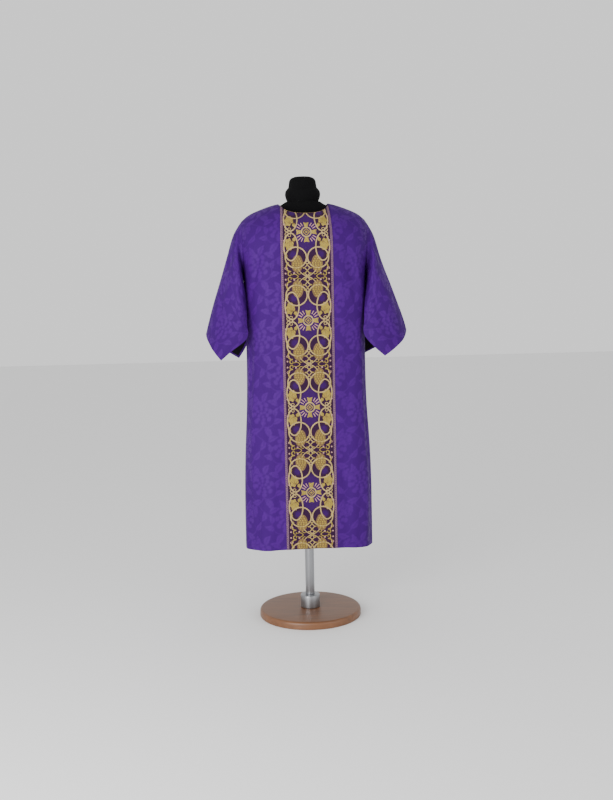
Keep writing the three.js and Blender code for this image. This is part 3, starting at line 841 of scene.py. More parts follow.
def upper_middle():
    """What stands on the middle line above a cross; its lower half mirrors it."""
    relief = Relief()
    for height, size in ((101, 6.0), (118, 9.0), (136, 8.0)):
        diamond = polygon((size, height), (0, height + size), (-size, height), (0, height - size))
        relief.cord(np.concatenate([diamond, diamond[:1]]), 3.0, 0.6, PALE)
        for x, y in ((size + 3, 0), (-size - 3, 0), (0, size + 1.6)):
            at = (x, height + y)
            relief.blob(at, arc(at, (3.4, 2.6), 0, 330, steps=11), 0.8, YELLOW)
    return relief.pieces


def quarter_turned(points, quarter):
    """Points turned by whole quarters about the middle of a cross."""
    cos, sin = ((1, 0), (0, 1), (-1, 0), (0, -1))[quarter]
    return np.array(points, float) @ np.array([[cos, sin], [-sin, cos]])


def cross():
    """The cross in its ring, whole."""
    relief = Relief()
    arm = polygon((14, -4.6), (35, -9.6), (32.6, 0), (35, 9.6), (14, 4.6), steps=4)
    for quarter in range(4):
        relief.blob(quarter_turned((24.5, 0), quarter), quarter_turned(arm, quarter), 0.9, YELLOW)
    relief.cord(arc((0, 0), (16.2, 16.2), 0, 360, steps=40), 4.8, 1.1, PALE)
    diamond = polygon((11, 0), (0, 11), (-11, 0), (0, -11))
    relief.cord(np.concatenate([diamond, diamond[:1]]), 3.4, 0.9, YELLOW)
    relief.blob((0, 0), polygon((5, 0), (0, 5), (-5, 0), (0, -5)), 0.9, YELLOW)
    return relief.pieces


def mirrored_copy(pieces, across, up):
    """The pieces again, with across or up turned round where it is -1."""
    flip = across * up < 0
    return [
        (points * (across, up, 1), faces[:, ::-1] if flip else faces, thread)
        for points, faces, thread in pieces
    ]


def hem_level(place):
    """The hem's level at places near the middle."""
    return HEM_Z + HEM_RISE * (1 - (NECK_THREAD * place / NECK_COLUMN) ** 2)


def neck_level(side, place):
    """The neckline's level, as a length up the cloth, at places near the middle."""
    return BREAK_Z + np.interp(neck_angle(side, np.abs(place)), ARC_ANGLES, ARC_LENGTHS)


PATTERN_TOP = 1450.0  # above every neckline
EDGE_MARGIN = 0.8  # between the pattern and the hem or the neckline
PRESSED = 0.004  # what is left of a length past that margin
PIECE_SHARE = 0.3  # a piece with less than this inside is left out


def orphrey_pattern(side):
    """Every raised piece of a band in its plane. What crosses the hem or the neckline is cut there."""
    quarter_part, middle_part = quadrant(), upper_middle()
    parts = []
    for across in (1, -1):
        for up in (1, -1):
            parts += mirrored_copy(quarter_part, across, up)
    parts += middle_part + mirrored_copy(middle_part, 1, -1) + cross()
    points, faces, threads, count = [], [], [], 0
    for number in range(-1, 4):
        for one_points, one_faces, thread in parts:
            moved = one_points + (0, FIRST_CROSS + number * REPEAT, 0)
            if moved[:, 1].max() < HEM_Z or moved[:, 1].min() > PATTERN_TOP:
                continue
            place, level = moved[:, 0], moved[:, 1].copy()
            low, high = hem_level(place) + EDGE_MARGIN, neck_level(side, place) - EDGE_MARGIN
            if ((level > low) & (level < high)).mean() < PIECE_SHARE:
                continue
            under, past = low + (level - low) * PRESSED, high + (level - high) * PRESSED
            moved[:, 1] = np.select([level < low, level > high], [under, past], level)
            points.append(moved)
            faces.append(one_faces + count)
            threads.append(np.full(len(one_faces), thread))
            count += len(moved)
    return np.concatenate(points), np.concatenate(faces), np.concatenate(threads)


# ----------------------------------------------------------------------------------------------------
# Materials
# ----------------------------------------------------------------------------------------------------


def linear(color):
    """A screen colour, 0 to 1, as the linear values that a shader takes."""
    channels = [c / 12.92 if c <= 0.04045 else ((c + 0.055) / 1.055) ** 2.4 for c in color[:3]]
    return (*channels, 1.0)


def node(tree, kind, place, **settings):
    made = tree.nodes.new(kind)
    made.location = place
    inputs = settings.pop("inputs", {})
    for key, value in settings.items():
        setattr(made, key, value)
    for key, value in inputs.items():
        made.inputs[key].default_value = value
    return made


def group_tree(name, inputs, outputs):
    """A shader node group with its input and output nodes, or the one that is there, without them."""
    old = bpy.data.node_groups.get(name)
    if old:
        return old, None, None
    tree = bpy.data.node_groups.new(name, "ShaderNodeTree")
    for label, kind, value in inputs:
        socket = tree.interface.new_socket(label, in_out="INPUT", socket_type=kind)
        socket.default_value = value
    for label, kind in outputs:
        tree.interface.new_socket(label, in_out="OUTPUT", socket_type=kind)
    start = tree.nodes.new("NodeGroupInput")
    start.location = (-900, 0)
    end = tree.nodes.new("NodeGroupOutput")
    end.location = (700, 0)
    return tree, start, end


def ribbed_weave():
    """Crossing threads on the piece's own flat coordinates, as a bump height."""
    tree, start, end = group_tree(
        "Ribbed Weave",
        [
            ("Across", "NodeSocketFloat", 900.0),
            ("Along", "NodeSocketFloat", 900.0),
            ("Slant", "NodeSocketFloat", 0.0),
        ],
        [("Height", "NodeSocketFloat")],
    )
    if start is None:
        return tree
    uv = node(tree, "ShaderNodeUVMap", (-900, -200), uv_map="cloth")
    split = node(tree, "ShaderNodeSeparateXYZ", (-700, -200))
    tree.links.new(uv.outputs["UV"], split.inputs[0])
    waves = []
    for axis, label, row in (("X", "Across", 100), ("Y", "Along", -150)):
        slanted = node(tree, "ShaderNodeMath", (-500, row), operation="MULTIPLY_ADD")
        tree.links.new(split.outputs["Y" if axis == "X" else "X"], slanted.inputs[0])
        tree.links.new(start.outputs["Slant"], slanted.inputs[1])
        tree.links.new(split.outputs[axis], slanted.inputs[2])
        scaled = node(tree, "ShaderNodeMath", (-330, row), operation="MULTIPLY")
        tree.links.new(slanted.outputs[0], scaled.inputs[0])
        tree.links.new(start.outputs[label], scaled.inputs[1])
        wave = node(tree, "ShaderNodeMath", (-160, row), operation="SINE")
        tree.links.new(scaled.outputs[0], wave.inputs[0])
        waves.append(wave)
    both = node(tree, "ShaderNodeMath", (60, 0), operation="MULTIPLY_ADD", inputs={1: 0.5})
    tree.links.new(waves[0].outputs[0], both.inputs[0])
    tree.links.new(waves[1].outputs[0], both.inputs[2])
    tree.links.new(both.outputs[0], end.inputs["Height"])
    return tree


def worn_tone():
    """Slow unevenness of dye and handling: a colour in, a slightly varied colour out."""
    tree, start, end = group_tree(
        "Worn Tone",
        [
            ("Color", "NodeSocketColor", (0.5, 0.5, 0.5, 1)),
            ("Size", "NodeSocketFloat", 6.0),
            ("Amount", "NodeSocketFloat", 0.2),
        ],
        [("Color", "NodeSocketColor")],
    )
    if start is None:
        return tree
    place = node(tree, "ShaderNodeTexCoord", (-900, -250))
    noise = node(tree, "ShaderNodeTexNoise", (-650, -150), inputs={"Detail": 4.0, "Roughness": 0.6})
    tree.links.new(place.outputs["Object"], noise.inputs["Vector"])
    tree.links.new(start.outputs["Size"], noise.inputs["Scale"])
    centred = node(tree, "ShaderNodeMath", (-430, -150), operation="SUBTRACT", inputs={1: 0.5})
    tree.links.new(noise.outputs[0], centred.inputs[0])
    swing = node(tree, "ShaderNodeMath", (-260, -150), operation="MULTIPLY_ADD", inputs={2: 1.0})
    tree.links.new(centred.outputs[0], swing.inputs[0])
    tree.links.new(start.outputs["Amount"], swing.inputs[1])
    shade = node(tree, "ShaderNodeHueSaturation", (200, 0))
    tree.links.new(start.outputs["Color"], shade.inputs["Color"])
    tree.links.new(swing.outputs[0], shade.inputs["Value"])
    tree.links.new(shade.outputs[0], end.inputs["Color"])
    return tree


def new_material(name):
    material = bpy.data.materials.new(name)
    material.use_nodes = True
    shader = material.node_tree.nodes["Principled BSDF"]
    return material, material.node_tree, shader


def toned(tree, color, size, amount, place=(-500, 200)):
    tone = node(tree, "ShaderNodeGroup", place, node_tree=worn_tone())
    tone.inputs["Size"].default_value = size
    tone.inputs["Amount"].default_value = amount
    if color is not None:
        tone.inputs["Color"].default_value = color
    return tone


def woven_bump(tree, shader, across, along, slant, strength, distance, extra=None):
    weave = node(tree, "ShaderNodeGroup", (-500, -300), node_tree=ribbed_weave())
    weave.inputs["Across"].default_value = across
    weave.inputs["Along"].default_value = along
    weave.inputs["Slant"].default_value = slant
    bump = node(tree, "ShaderNodeBump", (-200, -300), inputs={"Strength": strength, "Distance": distance})
    height = weave.outputs["Height"]
    if extra is not None:
        total = node(tree, "ShaderNodeMath", (-350, -420), operation="ADD")
        tree.links.new(height, total.inputs[0])
        tree.links.new(extra, total.inputs[1])
        height = total.outputs[0]
    tree.links.new(height, bump.inputs["Height"])
    tree.links.new(bump.outputs[0], shader.inputs["Normal"])


def blended(tree, place, share, low, high):
    """The output of a mix of two colours by a share."""
    color = node(tree, "ShaderNodeMix", place, data_type="RGBA")
    color.inputs[6].default_value = low
    color.inputs[7].default_value = high
    tree.links.new(share, color.inputs[0])
    return color.outputs[2]


def damask_material(name, ground, satin):
    """Two weaves of one dye: a satin figure on a duller ground."""
    material, tree, shader = new_material(name)
    figure = node(tree, "ShaderNodeAttribute", (-1300, 0), attribute_name="figure")
    edge = node(tree, "ShaderNodeMapRange", (-1100, 0), inputs={"From Min": 1.8, "From Max": -1.8})
    tree.links.new(figure.outputs["Fac"], edge.inputs[0])
    color = blended(tree, (-850, 200), edge.outputs[0], ground, satin)
    tone = toned(tree, None, 5.0, 0.3)
    tree.links.new(color, tone.inputs["Color"])
    tree.links.new(tone.outputs[0], shader.inputs["Base Color"])
    rough = node(tree, "ShaderNodeMapRange", (-850, -100), inputs={"To Min": 0.68, "To Max": 0.54})
    tree.links.new(edge.outputs[0], rough.inputs[0])
    tree.links.new(rough.outputs[0], shader.inputs["Roughness"])
    woven_bump(tree, shader, 5200.0, 2600.0, 0.6, 0.25, 0.0003, edge.outputs[0])
    shader.inputs["Specular IOR Level"].default_value = 0.1
    return material


def cloth_material(name, color, roughness, across, along, sheen=0.1):
    """A plain weave of one colour, with so many threads across and along."""
    material, tree, shader = new_material(name)
    tone = toned(tree, color, 9.0, 0.25)
    tree.links.new(tone.outputs[0], shader.inputs["Base Color"])
    woven_bump(tree, shader, across, along, 0.0, 0.3, 0.0004)
    shader.inputs["Roughness"].default_value = roughness
    shader.inputs["Sheen Weight"].default_value = sheen
    shader.inputs["Specular IOR Level"].default_value = 0.08
    return material


def metal_thread_material(name, color, metallic, roughness):
    """Close stitches of a thread with a metal wrap."""
    material, tree, shader = new_material(name)
    tone = toned(tree, color, 60.0, 0.7)
    tree.links.new(tone.outputs[0], shader.inputs["Base Color"])
    woven_bump(tree, shader, 1500.0, 5200.0, 0.35, 0.5, 0.0004)
    shader.inputs["Metallic"].default_value = metallic
    shader.inputs["Roughness"].default_value = roughness
    return material


def two_color_material(name, attribute, limits, low, high, metallic, roughness):
    """A woven cloth whose colour follows one of the piece's own attributes."""
    material, tree, shader = new_material(name)
    value = node(tree, "ShaderNodeAttribute", (-1100, 0), attribute_name=attribute)
    share = node(tree, "ShaderNodeMapRange", (-900, 0), inputs={"From Min": limits[0], "From Max": limits[1]})
    tree.links.new(value.outputs["Fac"], share.inputs[0])
    color = blended(tree, (-700, 200), share.outputs[0], low, high)
    tone = toned(tree, None, 60.0, 0.5)
    tree.links.new(color, tone.inputs["Color"])
    tree.links.new(tone.outputs[0], shader.inputs["Base Color"])
    woven_bump(tree, shader, 1500.0, 5200.0, 0.35, 0.5, 0.0004)
    shader.inputs["Metallic"].default_value = metallic
    shader.inputs["Roughness"].default_value = roughness
    shader.inputs["Specular IOR Level"].default_value = 0.15
    return material


def stretched_noise(tree, stretch, **settings):
    """Noise over the piece's own place, drawn out by a different scale along each axis."""
    place = node(tree, "ShaderNodeTexCoord", (-1100, 0))
    mapping = node(tree, "ShaderNodeMapping", (-900, 0), inputs={"Scale": stretch})
    tree.links.new(place.outputs["Object"], mapping.inputs["Vector"])
    noise = node(tree, "ShaderNodeTexNoise", (-700, 0), inputs=settings)
    tree.links.new(mapping.outputs[0], noise.inputs["Vector"])
    return noise.outputs[0]


def steel_material(name, color):
    """Steel brushed round the pole."""
    material, tree, shader = new_material(name)
    noise = stretched_noise(tree, (1.0, 1.0, 60.0), Scale=20.0, Detail=3.0)
    rough = node(tree, "ShaderNodeMapRange", (-250, 0), inputs={"To Min": 0.25, "To Max": 0.42})
    tree.links.new(noise, rough.inputs[0])
    tree.links.new(rough.outputs[0], shader.inputs["Roughness"])
    shader.inputs["Base Color"].default_value = color
    shader.inputs["Metallic"].default_value = 0.95
    return material


def wood_material(name, dark, light):
    """Waxed wood with its grain along X."""
    material, tree, shader = new_material(name)
    noise = stretched_noise(tree, (1.0, 9.0, 9.0), Scale=7.0, Detail=6.0, Distortion=0.6)
    color = blended(tree, (-400, 100), noise, dark, light)
    tree.links.new(color, shader.inputs["Base Color"])
    shader.inputs["Roughness"].default_value = 0.42
    return material


# ----------------------------------------------------------------------------------------------------
# Stitches: one short crowned stitch copied along a line
# ----------------------------------------------------------------------------------------------------


def stitch_line_group():
    """A geometry node group that lays one bead, drawn out into a stitch, at even steps along every line."""
    old = bpy.data.node_groups.get("Stitch Line")
    if old:
        return old
    tree = bpy.data.node_groups.new("Stitch Line", "GeometryNodeTree")
    tree.interface.new_socket("Geometry", in_out="INPUT", socket_type="NodeSocketGeometry")
    sizes = (("Pitch", 0.0045), ("Stitch Length", 0.003), ("Thickness", 0.0007), ("Unevenness", 0.15))
    for label, value in sizes:
        tree.interface.new_socket(label, in_out="INPUT", socket_type="NodeSocketFloat").default_value = value
    tree.interface.new_socket("Seed", in_out="INPUT", socket_type="NodeSocketInt").default_value = 3
    tree.interface.new_socket("Thread", in_out="INPUT", socket_type="NodeSocketMaterial")
    tree.interface.new_socket("Geometry", in_out="OUTPUT", socket_type="NodeSocketGeometry")
    link = tree.links.new
    start, end = tree.nodes.new("NodeGroupInput"), tree.nodes.new("NodeGroupOutput")
    start.location, end.location = (-900, 0), (1100, 0)
    line = node(tree, "GeometryNodeMeshToCurve", (-650, 100))
    link(start.outputs["Geometry"], line.inputs[0])
    spaced = node(tree, "GeometryNodeResampleCurve", (-450, 100), mode="LENGTH")
    link(line.outputs[0], spaced.inputs["Curve"])
    link(start.outputs["Pitch"], spaced.inputs["Length"])
    points = node(tree, "GeometryNodeCurveToPoints", (-250, 100), mode="EVALUATED")
    link(spaced.outputs[0], points.inputs["Curve"])
    ball = {"Segments": 6, "Rings": 4, "Radius": 0.5}
    bead = node(tree, "GeometryNodeMeshUVSphere", (-250, -200), inputs=ball)
    uneven = node(tree, "FunctionNodeRandomValue", (-250, -400), data_type="FLOAT")
    low = node(tree, "ShaderNodeMath", (-450, -400), operation="SUBTRACT", inputs={0: 1.0})
    link(start.outputs["Unevenness"], low.inputs[1])
    high = node(tree, "ShaderNodeMath", (-450, -550), operation="ADD", inputs={0: 1.0})
    link(start.outputs["Unevenness"], high.inputs[1])
    link(low.outputs[0], uneven.inputs[2])
    link(high.outputs[0], uneven.inputs[3])
    link(start.outputs["Seed"], uneven.inputs["Seed"])
    longer = node(tree, "ShaderNodeMath", (-50, -400), operation="MULTIPLY")
    link(uneven.outputs[1], longer.inputs[0])
    link(start.outputs["Stitch Length"], longer.inputs[1])
    size = node(tree, "ShaderNodeCombineXYZ", (150, -300))
    link(start.outputs["Thickness"], size.inputs[0])
    link(start.outputs["Thickness"], size.inputs[1])
    link(longer.outputs[0], size.inputs[2])
    copies = node(tree, "GeometryNodeInstanceOnPoints", (350, 100))
    link(points.outputs["Points"], copies.inputs["Points"])
    link(points.outputs["Rotation"], copies.inputs["Rotation"])
    link(bead.outputs[0], copies.inputs["Instance"])
    link(size.outputs[0], copies.inputs["Scale"])
    solid = node(tree, "GeometryNodeRealizeInstances", (600, 100))
    link(copies.outputs[0], solid.inputs[0])
    coloured = node(tree, "GeometryNodeSetMaterial", (820, 100))
    link(solid.outputs[0], coloured.inputs[0])
    link(start.outputs["Thread"], coloured.inputs["Material"])
    link(coloured.outputs[0], end.inputs[0])
    return tree


def stitched(name, lines, material, length, gap, seed):
    """Stitches along lines of points, as one mesh object."""
    vertices, edges, count = [], [], 0
    for line in lines:
        vertices.append(line)
        edges += [(count + i, count + i + 1) for i in range(len(line) - 1)]
        count += len(line)
    mesh = bpy.data.meshes.new(name)
    mesh.from_pydata(np.concatenate(vertices).tolist(), edges, [])
    obj = bpy.data.objects.new(name, mesh)
    bpy.context.scene.collection.objects.link(obj)
    tree = stitch_line_group()
    modifier = obj.modifiers.new("stitches", "NODES")
    modifier.node_group = tree
    socket = {item.name: item.identifier for item in tree.interface.items_tree if item.in_out == "INPUT"}
    modifier[socket["Pitch"]] = length + gap
    modifier[socket["Stitch Length"]] = length
    modifier[socket["Seed"]] = seed
    modifier[socket["Thread"]] = material
    bpy.context.view_layer.update()
    evaluated = obj.evaluated_get(bpy.context.evaluated_depsgraph_get())
    made = bpy.data.meshes.new_from_object(evaluated)
    obj.modifiers.clear()
    obj.data = made
    bpy.data.meshes.remove(mesh)
    made.name = name
    for polygon_ in made.polygons:
        polygon_.use_smooth = True
    return obj


# ----------------------------------------------------------------------------------------------------
# Settings
# ----------------------------------------------------------------------------------------------------


def color_setting(name, value, description):
    return bpy.props.FloatVectorProperty(
        name=name,
        description=description,
        subtype="COLOR",
        size=4,
        min=0,
        max=1,
        default=linear([part / 255 for part in value]),
    )


def length_setting(name, value, description):
    return bpy.props.FloatProperty(
        name=name,
        description=description,
        unit="LENGTH",
        subtype="DISTANCE",
        precision=5,
        min=0,
        default=value,
    )


def strength_setting(name, value, description, **limits):
    return bpy.props.FloatProperty(name=name, description=description, min=0, default=value, **limits)


class DALMATIC_PG_sizes(bpy.types.PropertyGroup):
    cloth: length_setting("Cloth", 0.0016, "Thickness of the damask wall")
    lining: length_setting("Lining", 0.0009, "Thickness of the sleeve lining")
    orphrey: length_setting("Orphrey", 0.001, "Thickness of the woven band")
    galloon: length_setting("Galloon", 0.0013, "Thickness of the narrow braid")
    pitch: length_setting("Cloth grid", 0.0043, "Spacing of the cloth's grid")
    stitch: length_setting("Stitch", 0.003, "Length of one stitch")
    stitch_gap: length_setting("Stitch gap", 0.0016, "Space between two stitches")
    creases: strength_setting("Creases", 1.5, "Strength of the small creases", max=2)


class DALMATIC_PG_colors(bpy.types.PropertyGroup):
    ground: color_setting("Damask ground", (52, 4, 91), "The duller weave of the damask")
    satin: color_setting("Damask figure", (62, 9, 104), "The shining weave of the damask")
    lining: color_setting("Lining", (14, 11, 16), "The sleeve lining")
    band: color_setting("Orphrey ground", (40, 10, 44), "The band's ground weave")
    yellow: color_setting("Yellow gold", (146, 124, 44), "The yellow metal thread")
    pale: color_setting("Pale gold", (166, 142, 88), "The pale metal thread")
    rose: color_setting("Rose", (170, 130, 122), "The pinkish thread")
    # The shade gold under the grapes is painted shade between the berries; in the leaves it colours the veins.
    shade: color_setting("Shade gold", (104, 78, 40), "The dull gold under the grapes and in the leaves")
    braid: color_setting("Galloon", (142, 112, 106), "The narrow braid")
    jersey: color_setting("Jersey", (9, 9, 10), "The dress form's cover")
    steel: color_setting("Steel", (150, 151, 154), "The pole, its plate and its socket")
    wood_dark: color_setting("Wood grain", (70, 42, 24), "The darker grain of the base")
    wood_light: color_setting("Wood", (126, 82, 48), "The lighter wood of the base")


class DALMATIC_PG_light(bpy.types.PropertyGroup):
    key: strength_setting("Main light", 125.0, "Power of the large soft light", unit="POWER")
    fill: strength_setting("Side light", 24.0, "Power of the second soft light", unit="POWER")
    world: strength_setting("Surroundings", 1.05, "Strength of the even light all round")


def settings(context):
    return context.scene.dalmatic_sizes, context.scene.dalmatic_colors, context.scene.dalmatic_light


def damask(context):
    """The damask, made once."""
    colors, name = context.scene.dalmatic_colors, "purple damask"
    return bpy.data.materials.get(name) or damask_material(name, colors.ground, colors.satin)


def dark_lining(context):
    """The lining's cloth, made once."""
    colors, name = context.scene.dalmatic_colors, "dark lining"
    return bpy.data.materials.get(name) or cloth_material(name, colors.lining, 0.7, 3000.0, 3000.0, 0.0)


FACES = {"front": -1, "back": 1}
HANDS = {"right": -1, "left": 1}


def panel_places(side, threads, heights):
    """Places and levels in mm where a panel's threads, -1 to 1, cross its heights, 0 at the hem to 3 on top."""
    thread, height = np.meshgrid(threads, heights)
    share = np.abs(thread)

    def place_at(level, height_):
        edge = panel_edge(side, level.ravel()).reshape(level.shape) - np.where(height_ > 1, GAP / 2, 0)
        inner = NECK_COLUMN * share / NECK_THREAD
        outer = mix(NECK_COLUMN, edge, (share - NECK_THREAD) / (1 - NECK_THREAD))
        return np.where(share <= NECK_THREAD, inner, outer)

    hem = HEM_Z + HEM_RISE * (1 - thread**2)
    chest = mix(ARMPIT_Z, BREAK_Z, np.clip(height - 1, 0, 1))
    level = np.where(height <= 1, mix(hem, ARMPIT_Z, height), chest)
    place = place_at(level, height)
    over = height > 2
    if over.any():
        at_break = place_at(np.full_like(level, BREAK_Z), height)
        angle = neck_angle(side, at_break[-1]) * np.clip(height - 2, 0, 1)
        level = np.where(over, BREAK_Z + np.interp(angle, ARC_ANGLES, ARC_LENGTHS), level)
        place = np.where(over, at_break, place)
    return np.sign(thread) * place, level


SKIRT_LENGTH, CHEST_LENGTH, OVER_LENGTH = 930.0, 100.0, 175.0  # up a panel, for the steps of its grid
PANEL_HALF = 290.0


def heights_every(pitch):
    """A panel's heights, 0 to 3, in steps of about a pitch in mm."""

    def part(low, length):
        return np.linspace(low, low + 1, max(2, round(length / pitch)) + 1)

    return np.concatenate([part(0, SKIRT_LENGTH)[:-1], part(1, CHEST_LENGTH)[:-1], part(2, OVER_LENGTH)])


def flat_cloth(place, level):
    """The flat coordinates of the cloth, in metres."""
    return np.stack([place * MM, level * MM], axis=-1)


# Where the damask's figure lies on each piece, in mm.
BACK_FIGURE_SHIFT, FIGURE_RISE = 60, 30
SLEEVE_FIGURE_SHIFT, SLEEVE_FIGURE_TOP = 40, 1000


class DALMATIC_OT_panels(bpy.types.Operator):
    """Cut the front and the back panel of damask and hang them on the form"""

    bl_idname = "dalmatic.panels"
    bl_label = "Panels"

    def execute(self, context):
        sizes, _, _ = settings(context)
        tile = figure_tile()
        pitch = sizes.pitch / MM
        cloths = [damask(context), dark_lining(context)]
        for name, side in FACES.items():
            threads = np.linspace(-1, 1, 2 * round(PANEL_HALF / pitch) + 1)
            place, level = panel_places(side, threads, heights_every(pitch))
            outer = on_panel(side, place, level, 0.0, sizes.creases)
            inner = on_panel(side, place, level, -sizes.cloth / MM, sizes.creases)
            values = {"figure": figure_at(tile, place + BACK_FIGURE_SHIFT * (side > 0), level + FIGURE_RISE)}
            obj = sheet_mesh(f"{name}_panel_cloth", outer, inner, flat_cloth(place, level), values, cloths)
            finish_piece(obj, "damask", f"{name}_panel")
        return {"FINISHED"}


BAND_THREADS, BAND_PITCH = 41, 4.5
FIELD_HALF_WIDTH, FIELD_HALF_HEIGHT, FIELD_CONTRAST = 40, 72, 5  # the plain field round a cross
MEDALLION_X, MEDALLION_Y, MEDALLION_RADIUS, MEDALLION_EDGE = 46, 74, 13, 4
PATTERN_BED, PATTERN_RELIEF = 0.05, 0.8  # how deep the pattern sits, and the share of its lift that is used


def open_field(place, level):
    """How far a band's ground takes the damask's colour: round a cross, and inside the medallions."""
    from_cross = np.mod(level - FIRST_CROSS + REPEAT / 2, REPEAT) - REPEAT / 2
    round_cross = 1 - np.hypot(place / FIELD_HALF_WIDTH, from_cross / FIELD_HALF_HEIGHT)
    medallion = np.hypot(np.abs(place) - MEDALLION_X, np.abs(from_cross) - MEDALLION_Y)
    inside = np.clip((MEDALLION_RADIUS - medallion) / MEDALLION_EDGE, 0, 1)
    return np.maximum(np.clip(FIELD_CONTRAST * round_cross, 0, 1), inside)


def plain_faces(faces):
    """Rows of four corners as lists, with a corner that stands twice in a row kept once."""
    listed = []
    for face in faces.tolist():
        if face[2] == face[3]:
            listed.append(face[:3])
        elif face[0] == face[1]:
            listed.append(face[1:])
        else:
            listed.append(face)
    return listed


class DALMATIC_OT_orphreys(bpy.types.Operator):
    """Lay the wide woven bands down the middle of the front and of the back, with their raised pattern"""

    bl_idname = "dalmatic.orphreys"
    bl_label = "Orphreys"

    def execute(self, context):
        sizes, colors, _ = settings(context)
        tones = colors.band, colors.ground
        ground = two_color_material("orphrey ground", "open", (0.0, 1.7), *tones, 0.0, 0.6)
        threads = [
            metal_thread_material("yellow gold thread", colors.yellow, 0.35, 0.42),
            metal_thread_material("pale gold thread", colors.pale, 0.3, 0.42),
            metal_thread_material("rose thread", colors.rose, 0.15, 0.5),
            # the shade gold thread: painted shade on the bed between the grapes, and the colour of the leaves'
            # veins
            metal_thread_material("shade gold thread", colors.shade, 0.2, 0.5),
        ]
        lift = GAP + sizes.orphrey / MM
        half = NECK_THREAD * (ORPHREY_HALF - GAP / 2) / NECK_COLUMN
        for name, side in FACES.items():
            across = np.linspace(-half, half, BAND_THREADS)
            place, level = panel_places(side, across, heights_every(BAND_PITCH))
            outer = on_panel(side, place, level, lift, sizes.creases)
            inner = on_panel(side, place, level, GAP, sizes.creases)
            values = {"open": open_field(place, level)}
            band = sheet_mesh(f"{name}_orphrey_band", outer, inner, flat_cloth(place, level), values, [ground])
            finish_piece(band, "brocade", f"{name}_orphrey")
            points, faces, rows = orphrey_pattern(side)
            place, level = points[:, 0], points[:, 1]
            bedded = lift - PATTERN_BED + points[:, 2] * PATTERN_RELIEF
            raised = on_panel(side, place, level, bedded, sizes.creases)
            listed = plain_faces(faces[:, ::-1] if side > 0 else faces)
            uv = flat_cloth(place, level)
            pattern = new_object(f"{name}_orphrey_figures", raised, listed, uv, None, rows, threads, sharp=50)
            finish_piece(pattern, "brocade")
        return {"FINISHED"}


GALLOON_THREADS, GALLOON_PITCH, SEWING_PITCH = 9, 3.2, 5.0
RIDGE_HEIGHT, WAVE_HEIGHT, WAVE_PITCH = 0.35, 0.18, 6.4
SEWING_LIFT = 0.15  # of a galloon's stitches over the braid


class DALMATIC_OT_galloons(bpy.types.Operator):
    """Sew the narrow braids along the edges of both orphreys"""

    bl_idname = "dalmatic.galloons"
    bl_label = "Galloons"

    def execute(self, context):
        sizes, colors, _ = settings(context)
        tones = colors.ground, colors.braid
        braid = two_color_material("galloon braid", "ridge", (-0.4, 0.6), *tones, 0.2, 0.5)
        thread = cloth_material("sewing thread", colors.braid, 0.6, 4000.0, 4000.0)
        thick = sizes.galloon / MM
        for name, side in FACES.items():
            lines, pieces = [], []
            for hand, out in HANDS.items():
                edges = np.linspace(ORPHREY_HALF + GAP / 2, GALLOON_OUTER, GALLOON_THREADS)
                across = np.sort(edges * out * NECK_THREAD / NECK_COLUMN)
                place, level = panel_places(side, across, heights_every(GALLOON_PITCH))
                share = (np.abs(place) - ORPHREY_HALF) / (GALLOON_OUTER - ORPHREY_HALF)
                fade = np.sin(math.pi * np.clip(share, 0, 1))
                ridges = RIDGE_HEIGHT * np.cos(share * 6 * math.pi) * fade
                waves = WAVE_HEIGHT * np.sin(level * 2 * math.pi / WAVE_PITCH + share * 5) * fade
                outer = on_panel(side, place, level, GAP + thick + ridges + waves, sizes.creases)
                inner = on_panel(side, place, level, GAP, sizes.creases)
                values = {"ridge": ridges * 2 + waves * 4}
                uv = flat_cloth(place, level)
                strip = sheet_mesh(f"{name}_galloon_{hand}_braid", outer, inner, uv, values, [braid])
                finish_piece(strip, "galloon", f"{name}_galloon_{hand}")
                pieces.append(strip)
                for length in (ORPHREY_HALF + 1.0, GALLOON_OUTER - 0.8):
                    across = [out * length * NECK_THREAD / NECK_COLUMN]
                    place, level = panel_places(side, across, heights_every(SEWING_PITCH))
                    line = on_panel(side, place, level, GAP + thick + SEWING_LIFT, sizes.creases)
                    lines.append(line[2:-2, 0])
            spacing = sizes.stitch, sizes.stitch_gap
            stitches = stitched(f"{name}_galloon_stitches", lines, thread, *spacing, 5 + side)
            finish_piece(stitches, "galloon")
        return {"FINISHED"}


# Shares of a sleeve: where its cloth starts by the armhole, and where its lining starts and ends.
SLEEVE_START = 0.0015
LINING_START, LINING_END, LINING_EDGE = 0.02, 0.985, 0.965
ACROSS_DENSITY = 1.15  # of a sleeve's grid across, against the cloth's


